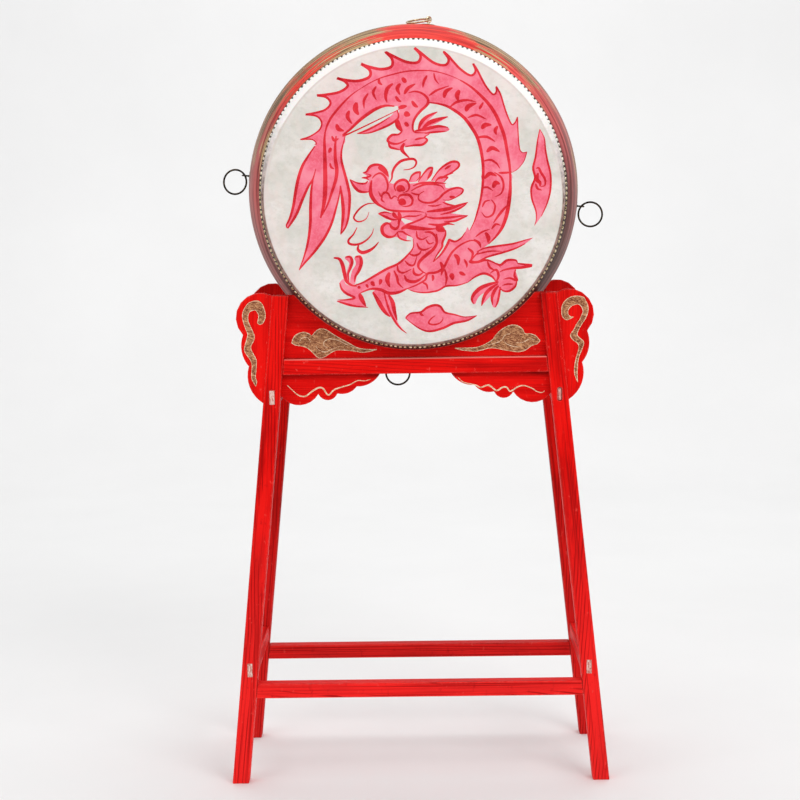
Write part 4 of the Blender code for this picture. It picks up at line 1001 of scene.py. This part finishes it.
feet_strokes = [
    (5.0, [(-131, -99), (-122, -101), (-117, -110), (-114, -124), (-111, -137), (-103, -144), (-94, -146)]),
    (3.8, [(-112, -98), (-104, -98), (-101, -106), (-104, -116), (-108, -126), (-107, -138)]),
    (4.4, [(-96, -98), (-88, -98), (-86, -108), (-90, -120), (-96, -130), (-98, -139)]),
    (3.2, [(-122, -140), (-119, -150), (-111, -158), (-98, -165), (-112, -168), (-126, -168)]),
    (3.0, [(-127, -170), (-112, -175), (-96, -179), (-76, -181)]),
    (6.0, [(-90, -158), (-86, -168), (-80, -179)]),
    (5.6, [(-68, -156), (-61, -168), (-54, -181), (-47, -191), (-40, -197)]),
    (3.0, [(-50, -155), (-46, -172), (-40, -190), (-31, -207), (-22, -218), (-13, -225)]),
    (5.4, [(-42, -161), (-36, -173), (-33, -188), (-29, -203)]),
    (3.0, [(-92, -50), (-98, -61), (-106, -70), (-105, -76), (-96, -78), (-86, -76), (-76, -70), (-68, -61),
           (-65, -52)]), (4.4, [(-90, -79), (-91, -86), (-84, -91), (-73, -88), (-64, -82), (-57, -74)]),
    (3.4, [(134, -112), (142, -114), (152, -107), (166, -107), (169, -112)]),
    (3.6, [(169, -112), (180, -114), (192, -116), (176, -119), (160, -120), (146, -123), (140, -126)]),
    (3.2, [(166, -122), (164, -132), (168, -140), (156, -136), (146, -138)]),
    (3.0, [(168, -141), (165, -150), (156, -157), (146, -157), (138, -150)]),
    (2.4, [(162, -146), (152, -146), (144, -148)]),
    (3.4, [(134, -142), (138, -132), (134, -122), (124, -128)]),
    (3.0, [(120, -108), (124, -118), (134, -124)]),
    (5.0, [(138, -142), (122, -146), (108, -152), (98, -161), (94, -170), (97, -178)]),
    (4.6, [(137, -145), (126, -152), (117, -161), (112, -172), (110, -181)]),
    (4.4, [(138, -148), (131, -157), (127, -168), (128, -180)]),
    (3.0, [(141, -150), (139, -162), (136, -176), (132, -184)]),
]
scale_strokes = [
    (3.6, [(-52, 188), (-52, 182), (-47, 178)]), (5.0, [(-30, 180), (-39, 172), (-42, 160), (-40, 150)]),
    (3.6, [(-57, 176), (-62, 166), (-57, 154)]), (3.4, [(-70, 165), (-77, 154), (-77, 141)]),
    (7.0, [(-89, 151), (-91, 140), (-86, 131)]), (5.0, [(-101, 138), (-104, 128), (-97, 117)]),
    (5.4, [(-122, 117), (-119, 109), (-110, 106)]), (5.6, [(-15, 189), (-11, 184), (-8, 182)]),
    (5.0, [(-18, 180), (-23, 172), (-19, 162)]), (4.6, [(-12, 163), (-6, 172), (6, 179)]),
    (4.0, [(-26, 160), (-22, 154), (-17, 151)]), (4.6, [(0, 152), (5, 145), (10, 142)]),
    (3.6, [(25, 192), (20, 183), (18, 173)]), (2.2, [(36, 196), (38, 186), (44, 178)]),
    (5.4, [(52, 156), (55, 166), (66, 172)]), (6.0, [(77, 168), (73, 160), (75, 151)]),
    (2.8, [(28, 160), (40, 168), (60, 175)]), (3.4, [(61, 141), (72, 149), (88, 152), (104, 149)]),
    (6.0, [(87, 134), (91, 142), (104, 147)]), (3.4, [(115, 148), (110, 140), (109, 137)]),
    (3.0, [(90, 124), (104, 128), (120, 121)]), (6.0, [(112, 106), (118, 112), (128, 112)]),
    (4.6, [(138, 110), (134, 103), (136, 96)]), (3.4, [(104, 92), (120, 93), (134, 85)]),
    (5.4, [(120, 69), (129, 75), (141, 69)]), (2.8, [(114, 54), (126, 56), (136, 50), (141, 42)]),
    (2.8, [(132, 36), (143, 28), (147, 15), (143, 2), (132, -4)]), (5.0, [(116, 26), (125, 34), (136, 30)]),
    (6.0, [(130, 11), (134, 19), (141, 17)]), (2.6, [(112, 11), (121, 12), (130, 6)]),
    (2.6, [(127, -8), (133, -18), (129, -32), (118, -36), (111, -28)]),
    (2.4, [(112, -20), (117, -11), (125, -9)]), (3.4, [(152, -18), (140, -32), (130, -46)]),
    (3.0, [(127, -56), (134, -48), (142, -50)]), (5.4, [(117, -61), (122, -70), (121, -78)]),
    (2.4, [(101, -68), (112, -60), (124, -56)]), (3.0, [(139, 35), (150, 35), (162, 36)]),
    (7.4, [(-136, 76), (-133, 75), (-131, 74)]), (3.6, [(-130, 98), (-126, 91), (-119, 94)]),
    (2.8, [(-134, 55), (-132, 48), (-127, 45)]), (5.0, [(-22, 141), (-14, 143), (-8, 144)]),
    (7.0, [(-13, 132), (-8, 131), (-3, 129)]), (5.0, [(-12, 118), (-8, 114), (-5, 113)]),
    (2.6, [(5, -57), (6, -67), (14, -71), (24, -66)]), (3.2, [(18, -59), (29, -60), (36, -68), (36, -78)]),
    (2.4, [(20, -71), (25, -78), (33, -76)]), (2.8, [(5, -76), (9, -85), (18, -88), (30, -83)]),
    (2.8, [(-9, -93), (0, -97), (9, -94), (13, -87)]), (2.8, [(-15, -105), (-8, -112), (0, -112), (5, -98)]),
    (2.8, [(-27, -111), (-26, -121), (-18, -125), (-4, -119)]),
    (3.4, [(-1, -117), (0, -126), (8, -129), (16, -124)]),
    (4.2, [(-16, -129), (-12, -137), (-2, -140), (8, -137), (19, -128)]),
    (4.0, [(-93, -147), (-90, -148), (-88, -149)]), (3.4, [(-79, -143), (-77, -146), (-76, -149)]),
    (5.4, [(-69, -138), (-68, -142), (-65, -146)]), (8.4, [(-58, -140), (-55, -140), (-53, -141)]),
    (6.0, [(-40, -124), (-44, -136), (-40, -148)]),
    (3.4, [(-33, -121), (-28, -132), (-26, -142), (-18, -150)]), (4.6, [(43, -108), (47, -118), (44, -130)]),
    (5.4, [(66, -96), (72, -103), (72, -114)]), (3.4, [(88, -86), (96, -94), (93, -105)]),
    (3.2, [(82, -104), (86, -112), (86, -118)]), (6.4, [(60, -127), (62, -132), (63, -138)]),
    (4.6, [(74, -125), (79, -128), (84, -130)]), (3.6, [(30, -129), (31, -134), (30, -139)]),
    (2.8, [(13, -141), (20, -145), (22, -153)]), (3.2, [(50, -120), (53, -134), (51, -147)]),
    (3.0, [(98, -72), (107, -78), (109, -86)]),
]


def paint_dragon():
    """Pink areas under red strokes."""
    pink = washed_paint("pink_wash", (0.92, 0.265, 0.345), (0.89, 0.170, 0.255), (0.84, 0.115, 0.180), 0.55)
    red = washed_paint("red_stroke", (0.80, 0.036, 0.056), (0.68, 0.016, 0.030), (0.54, 0.008, 0.018), 0.5)
    areas = [body, outer_frond, middle_frond, inner_frond, top_paw, thin_frond, *top_claws, trunk, long_plume,
             head, jaw, *brow_plumes, fore_foot, *fore_toes, hind_foot, *hind_toes, knee_plumes, flame, cloud]
    paint_areas("dragon_areas", areas, 0.03, pink)
    paint_strokes("dragon_strokes", outlines + head_strokes + feet_strokes + scale_strokes, 0.11, red)


paint_dragon()


# Nails. One row of brass dome nails holds each skirt, so close that they nearly touch. They are
# stamped, so each is a thin dome, and old. The hide in the gaps between them is painted dark as shade.


def nail_brass():
    """Old brass, dark in its hollows; the nails above are painted nearly white, a painted reflection."""
    material, tree, shader = start_material("nail_brass", Roughness=0.34)
    source = add_node(tree, "TexCoord").outputs["Object"]
    patch = streaks(tree, (0.0035, 0.0035, 0.0035), detail=5.0, roughness=0.65)
    uneven = calc(tree, "MULTIPLY_ADD", patch, 0.20, slanted_height(tree, source))
    # Painted reflection: the nails high on the drum are painted nearly white.
    pale_share = spread(tree, uneven, drum_middle + 0.1, drum_middle + 0.23)
    old = ramp(tree, patch, (0.40, (0.12, 0.075, 0.035)), (0.50, (0.52, 0.39, 0.20)),
               (0.60, (0.92, 0.80, 0.56)))
    white = ramp(tree, patch, (0.36, (0.62, 0.55, 0.46)), (0.48, (0.95, 0.93, 0.88)))
    finish_surface(tree, shader, patch, 0.0001, blend_colour(tree, pale_share, old, white),
                   Metallic=ramp(tree, pale_share, (0.2, 1.0), (0.8, 0.35)))
    return material


def build_nails():
    """One piece per row. A dome is a few rings about its top: height = top times the root of one
    less the square of the distance, in the frame of the barrel's surface at that nail."""
    brass = nail_brass()
    nail_radius, nail_height, corners = 0.0032, 0.0021, 10
    nail_inset, sunk, hide_dent = 0.0115, 0.0002, 0.0003
    place_scatter, inset_scatter = 0.0012, 0.0003
    around = np.linspace(0.0, 2 * math.pi, corners, endpoint=False)
    rings = np.array([1.0, 0.80, 0.42])
    across = np.concatenate([np.outer(rings, np.cos(around)).ravel(), [0.0]]) * nail_radius
    along = np.concatenate([np.outer(rings, np.sin(around)).ravel(), [0.0]]) * nail_radius
    height = np.concatenate([np.repeat(np.sqrt(1 - rings ** 2), corners), [1.0]]) * nail_height - sunk
    sides = grid_faces(rings.size, corners, closed_columns=True)
    last = (rings.size - 1) * corners + np.arange(corners)
    cap = np.stack([last, np.roll(last, -1), np.full(corners, rings.size * corners)], axis=1)
    rng = np.random.default_rng(7)
    for end_name, end in (("front", -1), ("back", 1)):
        place = np.arange(nail_count) / nail_count * 2 * math.pi
        place += rng.normal(0.0, place_scatter, nail_count)
        depth = shell_half - nail_inset + rng.normal(0.0, inset_scatter, nail_count)
        radius = barrel(depth) + hide_stand_off - hide_dent
        tilt = np.arctan(2 * (belly_radius - end_radius) * depth / shell_half ** 2)
        radial = np.stack([np.cos(place), np.zeros_like(place), np.sin(place)], axis=1)
        girth = np.stack([-np.sin(place), np.zeros_like(place), np.cos(place)], axis=1)
        axial = np.array([[0.0, 1.0, 0.0]]) * end
        out = radial * np.cos(tilt)[:, None] + axial * np.sin(tilt)[:, None]
        down = axial * np.cos(tilt)[:, None] - radial * np.sin(tilt)[:, None]
        centre = radial * radius[:, None] + axial * depth[:, None]
        points = (centre[:, None, :] + girth[:, None, :] * across[None, :, None]
                  + down[:, None, :] * along[None, :, None] + out[:, None, :] * height[None, :, None])
        shift = (np.arange(nail_count) * across.size)[:, None, None]
        quads = (sides[None] + shift).reshape(-1, 4)
        tops = (cap[None] + shift).reshape(-1, 3)
        nails = add_piece(f"nails_{end_name}", lean_drum(points.reshape(-1, 3)),
                          list(quads) + list(tops), brass)
        merge_and_face_out(nails.data)
        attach(nails, "drum")


build_nails()


# Ring pulls. Each ring is bent from brass wire until its ends meet, and hangs in the eye of a
# staple that is driven through a stamped rosette and clinched inside the shell.


def old_brass(name, dark, middle, bright, roughness):
    """Dull brass with dark tarnish in patches and brighter patches."""
    material, tree, shader = start_material(name, Metallic=1.0, Roughness=roughness)
    patch = streaks(tree, (0.0035, 0.0035, 0.0035), detail=5.0, roughness=0.65)
    fleck = streaks(tree, (0.0009, 0.0009, 0.0009), shift=(0.3, 0.6, 0.2), detail=3.0)
    colour = ramp(tree, patch, (0.34, dark), (0.52, middle), (0.70, bright))
    colour = blend_colour(tree, ramp(tree, fleck, (0.60, 0.0), (0.72, 0.6)), colour, dark)
    finish_surface(tree, shader, fleck, 0.00008, colour,
                   Roughness=ramp(tree, patch, (0.3, roughness + 0.2), (0.7, roughness - 0.08)))
    return material


def bend_rings(brass_by_place):
    """A ring is a circle of wire in the plane of its CAD ring and about that ring's middle. Where
    its ends meet, the wire thins to a groove: its radius is less by the groove's share times e to
    the power of minus the square of the turn from there, in groove widths."""
    ring_radius, wire_radius, groove, groove_width, groove_turn = 0.0208, 0.00165, 0.35, 0.03, 0.45
    ring_steps, wire_steps = 120, 14
    joints = {joint["name"]: joint for joint in frame["joints"]}
    turn = np.linspace(0.0, 2 * math.pi, ring_steps, endpoint=False)
    off_groove = np.abs(turn - groove_turn)
    off_groove = np.minimum(off_groove, 2 * math.pi - off_groove)
    wire = wire_radius * (1 - groove * np.exp(-(off_groove / groove_width) ** 2))
    round_wire = np.linspace(0.0, 2 * math.pi, wire_steps, endpoint=False)
    faces = grid_faces(ring_steps, wire_steps, closed_rows=True, closed_columns=True)
    for place in ("left", "right", "top", "bottom"):
        cad_points = np.array([vertex.co for vertex in frame["nodes"][f"ring_{place}"].data.vertices])
        centre = (cad_points.max(axis=0) + cad_points.min(axis=0)) / 2
        normal = np.linalg.svd(cad_points - cad_points.mean(axis=0))[2][2]
        staple = np.array(joints[f"ring_{place}_swing"]["pos_m"])
        ahead = staple - centre
        ahead -= normal * (ahead @ normal)
        ahead /= np.linalg.norm(ahead)
        sideways = np.cross(normal, ahead)
        outward = np.cos(turn)[:, None] * ahead + np.sin(turn)[:, None] * sideways
        reach = (ring_radius + wire[:, None] * np.cos(round_wire))[..., None]
        lift = (wire[:, None] * np.sin(round_wire))[..., None]
        points = centre + outward[:, None, :] * reach + normal * lift
        ring = add_piece(f"wire_ring_{place}", points.reshape(-1, 3), faces, brass_by_place[place])
        merge_and_face_out(ring.data)
        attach(ring, f"pull_{place}")
        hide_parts(f"ring_{place}")


def stamp_rosettes(brass_by_place):
    """A rosette's height over the shell grows from its edge inwards, and eight petals wave it:
    thickness times (0.42 + 0.42 sine of the way in + 0.15 cosine of 8 angles on the outer half)."""
    seats = {"right": -6.0, "top": 84.0, "left": 174.0, "bottom": 264.0}
    outer_radius, thickness, inner_radius, under = 0.0119, 0.0018, 0.0020, 0.0003
    girth_steps = 64
    way_in = np.linspace(0.0, 1.0, 12)
    angle = np.linspace(0.0, 2 * math.pi, girth_steps, endpoint=False)
    radius = outer_radius + (inner_radius - outer_radius) * way_in
    petals = 0.15 * np.cos(8 * angle) * np.sin(np.clip(way_in * 2, 0, 1) * math.pi)[:, None]
    height = thickness * (0.42 + 0.42 * np.sin(way_in * math.pi / 2)[:, None] + petals)
    height = np.concatenate([height, np.full((2, girth_steps), under)])
    radius = np.concatenate([radius, [inner_radius, outer_radius]])
    bend = radius[:, None] ** 2 * np.cos(angle) ** 2 / (2 * belly_radius)
    depth = np.array([0.0, 1.0, 0.0])
    faces = grid_faces(len(radius), girth_steps, closed_rows=True, closed_columns=True)
    for place, degrees in seats.items():
        turn = math.radians(degrees)
        out = np.array([math.cos(turn), 0.0, math.sin(turn)])
        girth = np.array([-math.sin(turn), 0.0, math.cos(turn)])
        points = (out * (belly_radius + height - bend)[..., None]
                  + girth * (radius[:, None] * np.cos(angle))[..., None]
                  + depth * (radius[:, None] * np.sin(angle))[..., None])
        rosette = add_piece(f"stamped_rosette_{place}", lean_drum(points.reshape(-1, 3)), faces,
                            brass_by_place[place])
        merge_and_face_out(rosette.data)
        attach(rosette, "drum")
        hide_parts(f"rosette_{place}")


ring_brass = old_brass("ring_brass", (0.010, 0.007, 0.005), (0.034, 0.025, 0.017), (0.18, 0.13, 0.08), 0.36)
# The top pull, its rosette and staple take a lighter copy of the brass: a painted highlight from the light
# above.
lit_top_brass = old_brass("lit_top_brass", (0.20, 0.13, 0.07), (0.62, 0.48, 0.30), (0.95, 0.84, 0.62), 0.30)
brass_by_place = {"left": ring_brass, "right": ring_brass, "top": lit_top_brass, "bottom": ring_brass}
bend_rings(brass_by_place)
stamp_rosettes(brass_by_place)
for place, brass in brass_by_place.items():
    paint_node(f"staple_{place}", brass)
